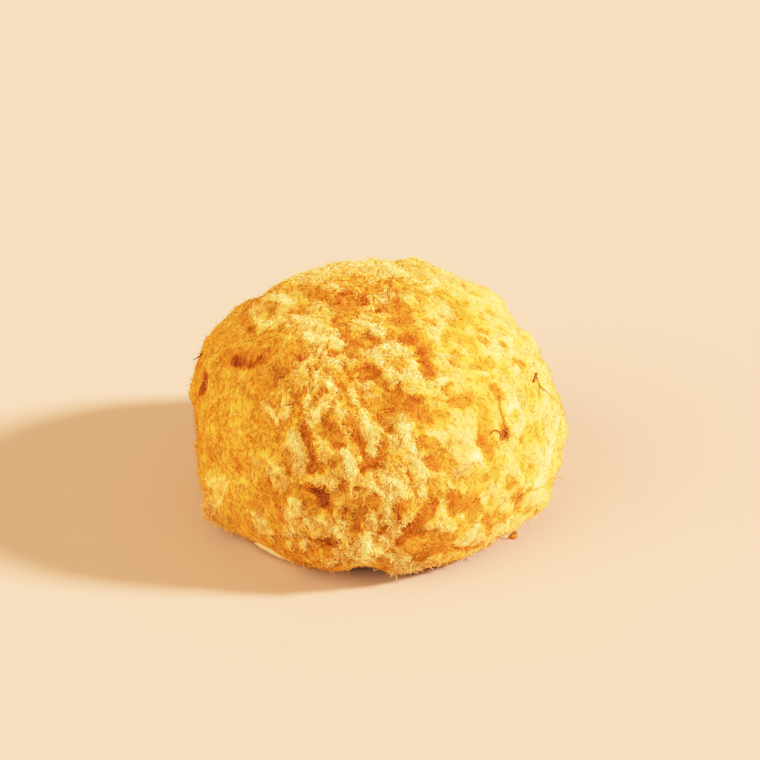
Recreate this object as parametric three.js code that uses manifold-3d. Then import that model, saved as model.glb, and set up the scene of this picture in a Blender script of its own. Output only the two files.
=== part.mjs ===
// Cream cheese floss bun: a round soft bread bun inside a shaggy coat of meat floss.
// Millimetres, +Z up, with the origin at the middle of the flat base, on the table.
// The bun's front faces -Y.
import * as THREE from "three";
import { ParametricGeometry } from "three/addons/geometries/ParametricGeometry.js";
import { mergeVertices } from "three/addons/utils/BufferGeometryUtils.js";
import Module from "manifold-3d";

// Driving dimensions
const COAT_WIDTH = 89; // across the coat, between the tufts that stand out and the hollows
const COAT_HEIGHT = 56.5; // table to the top of the coat, likewise
const EQUATOR_HEIGHT = 18.5; // where the bun is widest
const BASE_RADIUS = 30; // the bread's flat foot
const FOOT_SPREAD = { azimuth: 230, halfAngle: 66, by: 7 }; // the foot is wider at the front left
const COAT_FOOT = 31; // where the curve of the coat's skirt would meet the table
const FLOSS_ON_SIDE = 4.2; // thickness of the floss at the widest
const FLOSS_ON_TOP = 4.6;
const FIT_GAP = 0.4; // the coat lies this clear of the bread

// A profile swells from its foot to the equator, then closes over the top.
// dome and skirt are superellipse powers: 2 is an ellipse, more is squarer.
const coat = {
  halfWidth: COAT_WIDTH / 2,
  height: COAT_HEIGHT,
  foot: COAT_FOOT,
  dome: 2.3,
  skirt: 2.6,
};
const bread = {
  halfWidth: coat.halfWidth - FLOSS_ON_SIDE,
  height: COAT_HEIGHT - FLOSS_ON_TOP,
  foot: BASE_RADIUS,
  dome: 2.3,
  skirt: 2,
};

// The coat's lower edge wanders a little above the table: waves, each so many to a turn, and a few lifts.
const RIM_HEIGHT = 2.3;
const LOWEST_RIM = 0.7;
const RIM_WAVES = [
  { perTurn: 3, height: 0.5, phase: 1 },
  { perTurn: 7, height: 0.3, phase: 0 },
];
const FLAT_RIM_SHARE = 0.08; // of the section above the edge, where the tufts die away
const RIM_FEATURES = [
  { azimuth: 219, halfAngle: 14, lift: 2.8 }, // beside the corner on the left
  { azimuth: 233, halfAngle: 13, lift: 4.2 }, // the bare bread that shows at the front left
  { azimuth: 268, halfAngle: 11, lift: 4.0 }, // the gap under the front
  { azimuth: 281, halfAngle: 9, lift: -1.6 }, // the tuft that hangs to the table
  { azimuth: 294, halfAngle: 12, lift: 1.8 }, // raised edge along the front right
  { azimuth: 308, halfAngle: 14, lift: 1.0 },
  { azimuth: 60, halfAngle: 20, lift: 1.2 }, // and at the back
];

// Broad lumps and flats of the whole bun, by azimuth in degrees, u of the section and millimetres
const BROAD_FORMS = [
  { azimuth: 184, u: 1.05, radius: 17, rise: -1.1 }, // flat left side
  { azimuth: 210, u: 1.48, radius: 8, rise: 3.6 }, // corner low on the left
  { azimuth: 168, u: 0.82, radius: 13, rise: 1.7 }, // left shoulder
  { azimuth: 158, u: 0.63, radius: 9, rise: 1.0 }, // its upper end
  { azimuth: 166, u: 0.71, radius: 8, rise: 1.8 },
  { azimuth: 141, u: 0.53, radius: 8, rise: -1.7 }, // slack above it
  { azimuth: 0, u: 1.0, radius: 18, rise: 3.0 }, // full right side
  { azimuth: 22, u: 0.7, radius: 12, rise: -0.8 }, // slack right shoulder
  { azimuth: 29, u: 0.57, radius: 9, rise: 2.1 }, // above it, at the back
  { azimuth: 58, u: 0.46, radius: 8, rise: 1.8 },
  { azimuth: 338, u: 1.3, radius: 12, rise: 2.2 }, // full low on the right
  { azimuth: 316, u: 1.6, radius: 8, rise: -1.6 }, // tucked in under that
  { azimuth: 298, u: 1.5, radius: 11, rise: -1.0 }, // tucked in low at the front
];

// Tufts and hollows of the floss
const TUFT_COUNT = 330;
const TUFT_RADIUS = [3.4, 6.2];
const TUFT_RISE = [-1.0, 1.3]; // a negative rise is a hollow

// Bundles of floss that lie on the coat as thicker shreds, most of them combed down its side
const SHRED_COUNT = 40;
const SHRED_LENGTH = [6, 11];
const SHRED_WIDTH = [1.9, 3.2];
const SHRED_THICKNESS = 1.8;
const SHRED_SINK = 0.1; // its middle lies this far under the coat's face
const SHRED_CURL = [-0.025, 0.01]; // bend along its length, in 1/mm
const SHRED_LEAN = [0.15, 0.85]; // turn from level, in half turns
const SHRED_SIDES = 6;
const SHRED_RINGS = 4;

// Facets
const COAT_AROUND = 90;
const COAT_ROWS = 38;
const BREAD_AROUND = 48;
const BREAD_ROWS = 14;

const GOLDEN_ANGLE = Math.PI * (3 - Math.sqrt(5));
const QUARTER = Math.PI / 2;
const LOWEST_SPOT = THREE.MathUtils.degToRad(116); // polar angle where the spiral of spots ends
const SKIRT_STEP = THREE.MathUtils.degToRad(52); // polar angle that spans the whole skirt

const NORMAL_STEP = 0.004; // of u, either side of a point, to find the slope there
const MERGE_DISTANCE = 1e-3;

// Chance is the far digits of a sine wave, read at uneven steps.
const CHANCE_STEP = 127.1;
const CHANCE_SALT = 311.7;
const CHANCE_SCALE = 43758.5453;
const SALT = { tuftRadius: 1, tuftRise: 2, shredLean: 3, shredCurl: 4, shredLength: 5, shredWidth: 6 };

// A repeatable number from 0 to 1 for spot i. The salt gives each use its own series.
function chance(i, salt) {
  const wave = Math.sin(i * CHANCE_STEP + salt * CHANCE_SALT) * CHANCE_SCALE;
  return wave - Math.floor(wave);
}

function between([low, high], share) {
  return low + (high - low) * share;
}

// Half a bun's section: u is 0 at the top, 1 at the equator and 2 at the table.
function section(shape, u) {
  const { halfWidth, height, foot, dome, skirt } = shape;
  if (u <= 1) {
    const side = Math.sin(u * QUARTER) / halfWidth;
    const rise = Math.cos(u * QUARTER) / (height - EQUATOR_HEIGHT);
    const reach = (side ** dome + Math.max(rise, 0) ** dome) ** (-1 / dome);
    return new THREE.Vector2(reach * Math.sin(u * QUARTER), EQUATOR_HEIGHT + reach * Math.cos(u * QUARTER));
  }
  const turn = (Math.min(u, 2) - 1) * QUARTER;
  const out = Math.max(Math.cos(turn), 0) ** (2 / skirt);
  const down = Math.sin(turn) ** (2 / skirt);
  return new THREE.Vector2(foot + (halfWidth - foot) * out, EQUATOR_HEIGHT * (1 - down));
}

// The direction straight out of the section at u, as (outwards, up).
function outwards(shape, u) {
  const before = section(shape, Math.max(u - NORMAL_STEP, 0));
  const after = section(shape, u + NORMAL_STEP);
  return new THREE.Vector2(before.y - after.y, after.x - before.x).normalize();
}

// A point on the bun at a turn around it, lifted off the section by some millimetres.
function onBun(shape, turn, u, lift) {
  const at = section(shape, u).addScaledVector(outwards(shape, u), lift);
  return new THREE.Vector3(at.x * Math.cos(turn), at.x * Math.sin(turn), at.y);
}

function normalAt(shape, turn, u) {
  const out = outwards(shape, u);
  return new THREE.Vector3(out.x * Math.cos(turn), out.x * Math.sin(turn), out.y);
}

// Spot i of an even spiral from the top of the coat to just above its rim.
function spot(i, count) {
  const polar = Math.acos(1 - ((i + 0.5) / count) * (1 - Math.cos(LOWEST_SPOT)));
  const u = polar <= QUARTER ? polar / QUARTER : 1 + (polar - QUARTER) / SKIRT_STEP;
  return { turn: i * GOLDEN_ANGLE, u };
}

// A rounded hump: 1 in the middle, 0 from a distance of 1 outwards.
function hump(distance) {
  return distance < 1 ? (1 - distance ** 2) ** 2 : 0;
}

const broadForms = BROAD_FORMS.map(({ azimuth, u, radius, rise }) => {
  return { middle: onBun(coat, THREE.MathUtils.degToRad(azimuth), u, 0), radius, rise };
});

const tufts = Array.from({ length: TUFT_COUNT }, (_, i) => {
  const { turn, u } = spot(i, TUFT_COUNT);
  return {
    middle: onBun(coat, turn, u, 0),
    radius: between(TUFT_RADIUS, chance(i, SALT.tuftRadius)),
    rise: between(TUFT_RISE, chance(i, SALT.tuftRise)),
  };
});

// How far the floss stands above the coat's mean face: all lumps that reach the place, added up.
function relief(turn, u) {
  const at = onBun(coat, turn, u, 0);
  return [...broadForms, ...tufts].reduce(
    (sum, { middle, radius, rise }) => sum + rise * hump(at.distanceTo(middle) / radius),
    0,
  );
}

// Degrees from an azimuth to a turn around the bun, the shorter way.
function degreesFrom(azimuth, turn) {
  const ahead = THREE.MathUtils.radToDeg(turn) - azimuth;
  return Math.abs(THREE.MathUtils.euclideanModulo(ahead + 180, 360) - 180);
}

// Height of the coat's lower edge at a turn around the bun.
function rimHeight(turn) {
  let height = RIM_HEIGHT;
  for (const { perTurn, height: rise, phase } of RIM_WAVES) height += rise * Math.sin(perTurn * turn + phase);
  for (const { azimuth, halfAngle, lift } of RIM_FEATURES) {
    height += lift * hump(degreesFrom(azimuth, turn) / halfAngle);
  }
  return Math.max(height, LOWEST_RIM);
}

// The u at which a section's skirt is at a height above the table.
function skirtAt(shape, height) {
  return 1 + Math.asin((1 - height / EQUATOR_HEIGHT) ** (shape.skirt / 2)) / QUARTER;
}

// A closed round solid: point(turn, along) runs from its top pole down its side, along from 0 to 1,
// and its underside closes in to the axis at a height.
function roundedSolid(point, closeHeight, around, rows) {
  const place = (share, along, target) => {
    const row = Math.round(along * rows);
    if (row === rows) target.set(0, 0, closeHeight);
    else target.copy(point(((1 - share) % 1) * 2 * Math.PI, row / (rows - 1)));
  };
  return new ParametricGeometry(place, around, rows);
}

// The bread, or the room for it inside the coat, which is that much larger all round.
function breadGeometry(larger) {
  const { azimuth, halfAngle, by } = FOOT_SPREAD;
  const point = (turn, along) => {
    const foot = bread.foot + by * hump(degreesFrom(azimuth, turn) / halfAngle);
    return onBun({ ...bread, foot }, turn, 2 * along, larger);
  };
  return roundedSolid(point, -larger, BREAD_AROUND, BREAD_ROWS);
}

// The coat with nothing inside it: tufted down to its rim, where the floss lies flat.
function coatGeometry() {
  const point = (turn, along) => {
    const u = along * skirtAt(coat, rimHeight(turn));
    return onBun(coat, turn, u, relief(turn, u) * Math.min(1, (1 - along) / FLAT_RIM_SHARE));
  };
  return roundedSolid(point, RIM_HEIGHT, COAT_AROUND, COAT_ROWS);
}

// A shred is a lens of floss, bent along its length and laid on the coat.
function shredGeometry(i) {
  const { turn, u } = spot(i + 0.5, SHRED_COUNT + 1);
  const normal = normalAt(coat, turn, u);
  const middle = onBun(coat, turn, u, relief(turn, u) - SHRED_SINK);
  const level = new THREE.Vector3(-Math.sin(turn), Math.cos(turn), 0);
  const along = level.applyAxisAngle(normal, between(SHRED_LEAN, chance(i, SALT.shredLean)) * Math.PI);
  const across = new THREE.Vector3().crossVectors(normal, along);
  const curl = between(SHRED_CURL, chance(i, SALT.shredCurl));

  const lens = new THREE.SphereGeometry(1, SHRED_SIDES, SHRED_RINGS).rotateZ(QUARTER);
  const length = between(SHRED_LENGTH, chance(i, SALT.shredLength));
  lens.scale(length / 2, between(SHRED_WIDTH, chance(i, SALT.shredWidth)) / 2, SHRED_THICKNESS / 2);
  const corner = new THREE.Vector3();
  for (let k = 0; k < lens.attributes.position.count; k++) {
    corner.fromBufferAttribute(lens.attributes.position, k);
    lens.attributes.position.setZ(k, corner.z + curl * corner.x ** 2);
  }
  return lens.applyMatrix4(new THREE.Matrix4().makeBasis(along, across, normal).setPosition(middle));
}

const wasm = await Module();
wasm.setup();

// A geometry as a solid, with shared corners merged and the slivers at its poles dropped.
function solidOf(geometry) {
  const bare = geometry.clone();
  bare.deleteAttribute("normal");
  bare.deleteAttribute("uv");
  const merged = mergeVertices(bare, MERGE_DISTANCE);
  const corners = merged.index.array;
  const kept = [];
  for (let k = 0; k < corners.length; k += 3) {
    const [a, b, c] = corners.slice(k, k + 3);
    if (a !== b && b !== c && c !== a) kept.push(a, b, c);
  }
  return new wasm.Manifold(
    new wasm.Mesh({
      numProp: 3,
      vertProperties: merged.attributes.position.array,
      triVerts: new Uint32Array(kept),
    }),
  );
}

function geometryOf(solid) {
  const { vertProperties, triVerts } = solid.getMesh();
  return new THREE.BufferGeometry()
    .setAttribute("position", new THREE.BufferAttribute(vertProperties, 3))
    .setIndex(new THREE.BufferAttribute(triVerts, 1));
}

function flossCoat() {
  let solid = solidOf(coatGeometry());
  for (let i = 0; i < SHRED_COUNT; i++) solid = solid.add(solidOf(shredGeometry(i)));
  return geometryOf(solid.subtract(solidOf(breadGeometry(FIT_GAP))));
}

const softBread = new THREE.MeshStandardMaterial({ color: 0xf2deab, roughness: 0.75, metalness: 0 });
const goldenFloss = new THREE.MeshStandardMaterial({ color: 0xf2ad3f, roughness: 0.95, metalness: 0 });

function piece(name, geometry, material) {
  geometry.computeVertexNormals();
  const mesh = new THREE.Mesh(geometry, material);
  mesh.name = name;
  return mesh;
}

const bun = new THREE.Group();
bun.add(piece("bread", geometryOf(solidOf(breadGeometry(0))), softBread));
bun.add(piece("floss_coat", flossCoat(), goldenFloss));

export default bun;
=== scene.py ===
# %% [markdown]
# # A floss bun
# A soft round bun is rolled in floss: dry, curly fibres, fine as hair, that mat into a thick golden
# coat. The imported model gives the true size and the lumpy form, as a bread solid and a coat solid.
# Blender adds what is too fine for a solid: the felted face of the coat and the fibres on it.
# Lengths are in metres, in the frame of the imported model, and MM turns millimetres into them.

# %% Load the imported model
import math
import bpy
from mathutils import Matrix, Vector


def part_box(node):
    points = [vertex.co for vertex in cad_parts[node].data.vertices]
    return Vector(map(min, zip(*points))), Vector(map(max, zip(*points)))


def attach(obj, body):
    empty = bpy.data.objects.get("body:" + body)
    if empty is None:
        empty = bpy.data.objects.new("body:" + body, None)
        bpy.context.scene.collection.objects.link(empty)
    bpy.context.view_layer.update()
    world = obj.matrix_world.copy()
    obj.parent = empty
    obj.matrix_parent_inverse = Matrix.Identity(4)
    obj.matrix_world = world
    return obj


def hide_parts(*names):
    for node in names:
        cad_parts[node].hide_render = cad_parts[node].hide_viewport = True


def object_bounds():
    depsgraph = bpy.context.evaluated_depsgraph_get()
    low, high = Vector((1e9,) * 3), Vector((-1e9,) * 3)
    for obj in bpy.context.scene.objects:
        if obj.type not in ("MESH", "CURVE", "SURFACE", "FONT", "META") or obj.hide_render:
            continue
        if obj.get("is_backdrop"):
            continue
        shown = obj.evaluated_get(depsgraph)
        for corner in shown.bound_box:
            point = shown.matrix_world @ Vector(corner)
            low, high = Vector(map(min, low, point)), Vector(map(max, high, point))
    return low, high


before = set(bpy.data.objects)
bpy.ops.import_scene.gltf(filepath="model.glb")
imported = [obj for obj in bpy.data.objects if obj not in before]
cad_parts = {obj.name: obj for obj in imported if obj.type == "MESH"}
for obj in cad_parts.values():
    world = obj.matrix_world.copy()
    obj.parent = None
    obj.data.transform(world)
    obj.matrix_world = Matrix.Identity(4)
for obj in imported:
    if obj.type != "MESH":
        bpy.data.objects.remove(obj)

from types import SimpleNamespace

import bmesh
import bpy
import numpy as np

MM = 0.001
cad_low, cad_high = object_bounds()
draw = np.random.default_rng(7)
print("packed size in mm:", [round(side / MM, 1) for side in cad_high - cad_low])

# %% [markdown]
# ## The camera
# The camera looks down at the bun from in front. A long lens keeps the dome from swelling towards
# it. The view is slid a little sideways and up instead of shifting the lens, so that the bun sits
# low and left of the middle, and other views of the same camera stay centred.

# %% Camera
IMAGE = 760  # pixels along a side
LENS_MM = 85
SENSOR_MM = 36
ELEVATION = math.radians(29.5)
DISTANCE = 443 * MM
LOOK_AT = np.array([0, 0, 25]) * MM
SLIDE_RIGHT = 1.9 * MM
SLIDE_UP = 6.2 * MM

rightwards = np.array([1.0, 0, 0])
upwards = np.array([0, math.sin(ELEVATION), math.cos(ELEVATION)])
ahead = np.array([0, math.cos(ELEVATION), -math.sin(ELEVATION)])
eye = LOOK_AT + SLIDE_RIGHT * rightwards + SLIDE_UP * upwards - DISTANCE * ahead

camera = bpy.data.objects.new("camera", bpy.data.cameras.new("camera"))
camera.data.lens = LENS_MM
camera.data.sensor_width = SENSOR_MM
camera.location = eye
camera.rotation_euler = (math.pi / 2 - ELEVATION, 0, 0)
bpy.context.scene.collection.objects.link(camera)
bpy.context.scene.camera = camera
print("camera at", (eye / MM).round(1), "mm")

# %% [markdown]
# ## Light
# One low warm lamp from the right makes the long shadow and the bright side. A glow from all round
# and a very wide soft light from the left front fill the shade, so that the dark side stays golden.
# A camera's film rolls off each colour channel softly near white, which turns brightly lit orange to
# yellow. The view's own curve does the same: straight up to the shoulder, then levelling out.

# %% Light
# Turns, elevations and angles are in degrees
KEY_TURN = -2.5
KEY_ELEVATION = 29.5
KEY_ANGLE = 8
KEY_STRENGTH = 9.5
KEY_COLOUR = (1.0, 0.71, 0.71)
WARM = (1.0, 0.68, 0.45)
GLOW_STRENGTH = 0.72
FILL_TURN = 208
FILL_ELEVATION = 35
FILL_ANGLE = 60
FILL_STRENGTH = 4.25


def distant_lamp(name, turn, elevation, spread, strength, colour):
    """A lamp so far off that its light is even: degrees round the bun, above the floor and wide."""
    lamp = bpy.data.objects.new(name, bpy.data.lights.new(name, "SUN"))
    lamp.data.energy = strength
    lamp.data.color = colour
    lamp.data.angle = math.radians(spread)
    lamp.rotation_euler = (0, math.radians(90 - elevation), math.radians(turn))
    bpy.context.scene.collection.objects.link(lamp)


distant_lamp("key", KEY_TURN, KEY_ELEVATION, KEY_ANGLE, KEY_STRENGTH, KEY_COLOUR)
distant_lamp("fill", FILL_TURN, FILL_ELEVATION, FILL_ANGLE, FILL_STRENGTH, WARM)
world = bpy.data.worlds.new("glow")
world.use_nodes = True
world.node_tree.nodes["Background"].inputs["Color"].default_value = (*WARM, 1)
world.node_tree.nodes["Background"].inputs["Strength"].default_value = GLOW_STRENGTH
bpy.context.scene.world = world
print("key lamp", KEY_ELEVATION, "degrees above the floor, on the right")

# %% Film curve
SHOULDER = 0.4
BRIGHTEST = 4.0
CURVE_POINTS = 24
ALL_CHANNELS = 3  # the number of the curve that every channel goes through

view = bpy.context.scene.view_settings
view.view_transform = "Standard"
view.use_curve_mapping = True
view.curve_mapping.clip_max_x = BRIGHTEST
film = view.curve_mapping.curves[ALL_CHANNELS]
film.points[0].location = (0, 0)
film.points[1].location = (SHOULDER, SHOULDER)
for light in np.linspace(SHOULDER, BRIGHTEST, CURVE_POINTS)[1:]:
    headroom = 1 - SHOULDER
    film.points.new(light, 1 - headroom * math.exp((SHOULDER - light) / headroom))
for point in film.points:
    point.handle_type = "VECTOR"
view.curve_mapping.update()
print("film curve through", len(film.points), "points")

# %% [markdown]
# ## Node materials
# A material is a small graph. The helpers below keep each finish to a few lines: one starts a graph
# with its shader, and the others add a colour ramp from a list of stops, noise, sums of values, the
# place of a point and a bump.

# %% Material helpers
def new_finish(name, roughness, specular):
    """A material with one Principled shader of even roughness and reflection level."""
    finish = bpy.data.materials.new(name)
    finish.use_nodes = True
    graph = finish.node_tree
    shader = graph.nodes["Principled BSDF"]
    shader.inputs["Roughness"].default_value = roughness
    shader.inputs["Specular IOR Level"].default_value = specular
    return finish, graph, shader


def ramp_node(graph, stops, value):
    """A colour ramp with these (position, colour) stops, read at a value socket."""
    node = graph.nodes.new("ShaderNodeValToRGB")
    elements = node.color_ramp.elements
    while len(elements) < len(stops):
        elements.new(1)
    for element, (position, colour) in zip(elements, stops):
        element.position = position
        element.color = (*colour, 1)
    graph.links.new(value, node.inputs["Fac"])
    return node.outputs["Color"]


def noise_node(graph, place, feature, detail=2.0):
    """Soft noise with features of about this size, in metres, at a place socket."""
    node = graph.nodes.new("ShaderNodeTexNoise")
    node.inputs["Scale"].default_value = 1 / feature
    node.inputs["Detail"].default_value = detail
    graph.links.new(place, node.inputs["Vector"])
    return node.outputs["Fac"]


def math_node(graph, operation, first, second):
    """One sum of two values, each a socket or a plain number."""
    node = graph.nodes.new("ShaderNodeMath")
    node.operation = operation
    for socket, value in zip(node.inputs, (first, second)):
        if isinstance(value, (int, float)):
            socket.default_value = value
        else:
            graph.links.new(value, socket)
    return node.outputs["Value"]


def scaled_about(graph, value, middle, share):
    """How far a value socket is from a middle, times a share."""
    return math_node(graph, "MULTIPLY", math_node(graph, "SUBTRACT", value, middle), share)


def object_place(graph):
    """The place of a point in the piece's own coordinates, which are the model's."""
    return graph.nodes.new("ShaderNodeTexCoord").outputs["Object"]


def bump_node(graph, shader, height, distance, strength):
    """Small relief in the shading, from a height socket."""
    node = graph.nodes.new("ShaderNodeBump")
    node.inputs["Distance"].default_value = distance
    node.inputs["Strength"].default_value = strength
    graph.links.new(height, node.inputs["Height"])
    graph.links.new(node.outputs["Normal"], shader.inputs["Normal"])


# %% [markdown]
# ## Meshes from arrays
# Every surface below is worked out as one array of points and one of faces. The mesh takes both
# whole, which is far quicker than adding vertices one by one. A surface on a grid that closes on
# itself round the axis has its faces from the grid's row and column numbers.

# %% Mesh helpers
POLE_GAP = 0.001 * MM


def close_poles(mesh):
    """Points that lie on each other, as all those of a ring drawn in to a pole do, made one."""
    shell = bmesh.new()
    shell.from_mesh(mesh)
    bmesh.ops.remove_doubles(shell, verts=shell.verts, dist=POLE_GAP)
    shell.to_mesh(mesh)
    shell.free()


def mesh_piece(name, points, faces, finish, corner_uv=None, tone=None):
    """A piece from points (n, 3) and faces (m, corners), with a UV map and a tone where given."""
    mesh = bpy.data.meshes.new(name)
    count, corners = faces.shape
    mesh.vertices.add(len(points))
    mesh.vertices.foreach_set("co", points.astype(np.float32).ravel())
    mesh.loops.add(faces.size)
    mesh.loops.foreach_set("vertex_index", faces.astype(np.int32).ravel())
    mesh.polygons.add(count)
    mesh.polygons.foreach_set("loop_start", np.arange(0, faces.size, corners, dtype=np.int32))
    mesh.polygons.foreach_set("use_smooth", np.ones(count, bool))
    if corner_uv is not None:
        layer = mesh.uv_layers.new(name="OFBake")
        layer.data.foreach_set("uv", corner_uv.astype(np.float32).ravel())
    if tone is not None:
        layer = mesh.attributes.new("tone", "FLOAT", "POINT")
        layer.data.foreach_set("value", tone.astype(np.float32))
    mesh.update(calc_edges=True)
    mesh.materials.append(finish)
    close_poles(mesh)
    piece = bpy.data.objects.new(name, mesh)
    bpy.context.scene.collection.objects.link(piece)
    print(name, "has", count * (corners - 2), "triangles")
    return piece


def ring_faces(rows, around):
    """Quads of a grid of rings, each row one ring that closes on itself, seen from outside."""
    row, column = np.mgrid[0 : rows - 1, 0:around]
    beside = (column + 1) % around
    quads = [row * around + column, (row + 1) * around + column]
    quads += [(row + 1) * around + beside, row * around + beside]
    return np.stack(quads, -1).reshape(-1, 4)


def ring_uv(rows, around):
    """UV of those quads: turn along U, row along V, with the seam at U 1 and not back at 0."""
    row, column = np.mgrid[0 : rows - 1, 0:around]
    corners = [(column, row), (column, row + 1), (column + 1, row + 1), (column + 1, row)]
    shares = [np.stack([across / around, down / (rows - 1)], -1) for across, down in corners]
    return np.stack(shares, 2).reshape(-1, 2)


# %% [markdown]
# ## The bun's form
# The bun is a section swung round its axis: a dome over the widest ring and a skirt drawn in below
# it. Both are superellipses, which are ellipses with a power other than 2, so that the dome is a
# little squarer than a ball. The bread and its coat share this form at two sizes.

# %% Section and form
EQUATOR = 18.5 * MM
FOOT = 30 * MM
FOOT_SPREAD = SimpleNamespace(azimuth=230, half_angle=66, by=7 * MM)  # angles in degrees
COAT_FOOT = 31 * MM
FLOSS_ON_SIDE = 4.2 * MM
FLOSS_ON_TOP = 4.6 * MM
QUARTER = math.pi / 2
TURN = 2 * math.pi
U_STEP = 0.004
DOME_POWER = 2.3
COAT_SKIRT_POWER = 2.6
BREAD_SKIRT_POWER = 2.0
SHORTEST = 1e-12  # keeps a vector of no length from being divided by 0

bread_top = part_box("bread")[1]
coat_form = SimpleNamespace(
    half_width=bread_top.x + FLOSS_ON_SIDE,
    height=bread_top.z + FLOSS_ON_TOP,
    foot=COAT_FOOT,
    dome=DOME_POWER,
    skirt=COAT_SKIRT_POWER,
)


def hump(distance):
    """1 in the middle, falling smoothly to 0 at a distance of 1 and beyond."""
    return np.maximum(1 - distance**2, 0) ** 2


def degrees_from(azimuth, turn):
    """Degrees from an azimuth to a turn, the shorter way."""
    return np.abs((np.degrees(turn) - azimuth + 180) % 360 - 180)


def bread_form(turn):
    """The bread's form at a turn: its foot is wider at the front left."""
    spread = FOOT_SPREAD.by * hump(degrees_from(FOOT_SPREAD.azimuth, turn) / FOOT_SPREAD.half_angle)
    return SimpleNamespace(
        half_width=bread_top.x,
        height=bread_top.z,
        foot=FOOT + spread,
        dome=DOME_POWER,
        skirt=BREAD_SKIRT_POWER,
    )


def section(form, u):
    """Radius and height of the section: u is 0 at the top, 1 at the widest and 2 at the table. Over
    the widest it is where a ray at u quarter turns meets the dome, and below it the skirt's curve."""
    polar = np.minimum(u, 1) * QUARTER
    across = np.sin(polar) / form.half_width
    up = np.maximum(np.cos(polar), 0) / (form.height - EQUATOR)
    reach = (across**form.dome + up**form.dome) ** (-1 / form.dome)
    below = (np.clip(u, 1, 2) - 1) * QUARTER
    out = np.maximum(np.cos(below), 0) ** (2 / form.skirt)
    down = np.sin(below) ** (2 / form.skirt)
    radius = np.where(u <= 1, reach * np.sin(polar), form.foot + (form.half_width - form.foot) * out)
    height = np.where(u <= 1, EQUATOR + reach * np.cos(polar), EQUATOR * (1 - down))
    return radius, height


def swing(radius, height, turn):
    """Points from a radius and a height, swung round the axis by a turn."""
    return np.stack([radius * np.cos(turn), radius * np.sin(turn), height], -1)


def unit(vectors):
    """Vectors made one long."""
    return vectors / np.maximum(np.linalg.norm(vectors, axis=-1, keepdims=True), SHORTEST)


def on_bun(form, turn, u):
    """Points on the form and the directions straight out of it, across the section's own slope."""
    before = section(form, np.maximum(u - U_STEP, 0))
    after = section(form, u + U_STEP)
    outwards = unit(np.stack([before[1] - after[1], after[0] - before[0]], -1))
    return swing(*section(form, u), turn), swing(outwards[..., 0], outwards[..., 1], turn)


print("coat", round(2 * coat_form.half_width / MM, 1), "mm wide before its tufts")

# %% [markdown]
# ## Lumps, tufts and hollows
# Floss settles in tufts a few millimetres across. Each tuft is a rounded hump added to the form, at
# a spot of an even spiral, with its size and rise from a repeatable chance. They are the packed
# solid's own tufts, worked out by the same rule, so that the coat keeps the solid's form.

# %% Tufts
GOLDEN_ANGLE = math.pi * (3 - math.sqrt(5))
LOWEST_SPOT = math.radians(116)
SKIRT_STEP = math.radians(52)
TUFT_COUNT = 330
TUFT_RADIUS = (3.4 * MM, 6.2 * MM)
TUFT_RISE = (-1.0 * MM, 1.3 * MM)
SPOT_STEP = 127.1
SALT_STEP = 311.7
FAR_DIGITS = 43758.5453
SALT = SimpleNamespace(tuft_radius=1, tuft_rise=2, shred_lean=3, shred_length=5, shred_width=6)
BROAD_FORMS = [  # azimuth in degrees, u of the section, radius and rise in mm
    (184, 1.05, 17, -1.1),
    (210, 1.48, 8, 3.6),
    (168, 0.82, 13, 1.7),
    (158, 0.63, 9, 1.0),
    (166, 0.71, 8, 1.8),
    (141, 0.53, 8, -1.7),
    (0, 1.0, 18, 3.0),
    (22, 0.7, 12, -0.8),
    (29, 0.57, 9, 2.1),
    (58, 0.46, 8, 1.8),
    (338, 1.3, 12, 2.2),
    (316, 1.6, 8, -1.6),
    (298, 1.5, 11, -1.0),
]


def scrambled(angle):
    """A repeatable number from 0 to 1: the far digits of the angle's sine."""
    wave = np.sin(angle) * FAR_DIGITS
    return wave - np.floor(wave)


def chance(i, salt):
    """A repeatable number from 0 to 1 for spot i, a different one for each salt."""
    return scrambled(i * SPOT_STEP + salt * SALT_STEP)


def between(limits, share):
    """The number at a share of the way between two limits."""
    return limits[0] + (limits[1] - limits[0]) * share


def spiral(i, count):
    """Turn and u of spot i of an even spiral from the top to just above the rim."""
    polar = np.arccos(1 - (i + 0.5) / count * (1 - math.cos(LOWEST_SPOT)))
    u = np.where(polar <= QUARTER, polar / QUARTER, 1 + (polar - QUARTER) / SKIRT_STEP)
    return i * GOLDEN_ANGLE, u


def humps(points, middles, radii, rises):
    """The sum of rounded humps at the points: one pass over all points for each hump."""
    total = np.zeros(points.shape[:-1])
    for middle, radius, rise in zip(middles, radii, rises):
        total += rise * hump(np.linalg.norm(points - middle, axis=-1) / radius)
    return total


spot_number = np.arange(TUFT_COUNT)
tuft_middles = on_bun(coat_form, *spiral(spot_number, TUFT_COUNT))[0]
tuft_radii = between(TUFT_RADIUS, chance(spot_number, SALT.tuft_radius))
tuft_rises = between(TUFT_RISE, chance(spot_number, SALT.tuft_rise))
broad = np.array(BROAD_FORMS)
broad_middles = on_bun(coat_form, np.radians(broad[:, 0]), broad[:, 1])[0]


def rise_of(bare):
    """How far the tufts and broad lumps stand out at points of the form."""
    tufted = humps(bare, tuft_middles, tuft_radii, tuft_rises)
    return tufted + humps(bare, broad_middles, broad[:, 2] * MM, broad[:, 3] * MM)


print(TUFT_COUNT, "tufts and hollows,", len(broad), "broad lumps")

# %% [markdown]
# ## The coat's lower edge
# The floss stops a little above the table in an uneven edge, and bare bread shows where it is
# higher. The edge is a height for each turn: two waves and a few humps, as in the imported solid.

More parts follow.
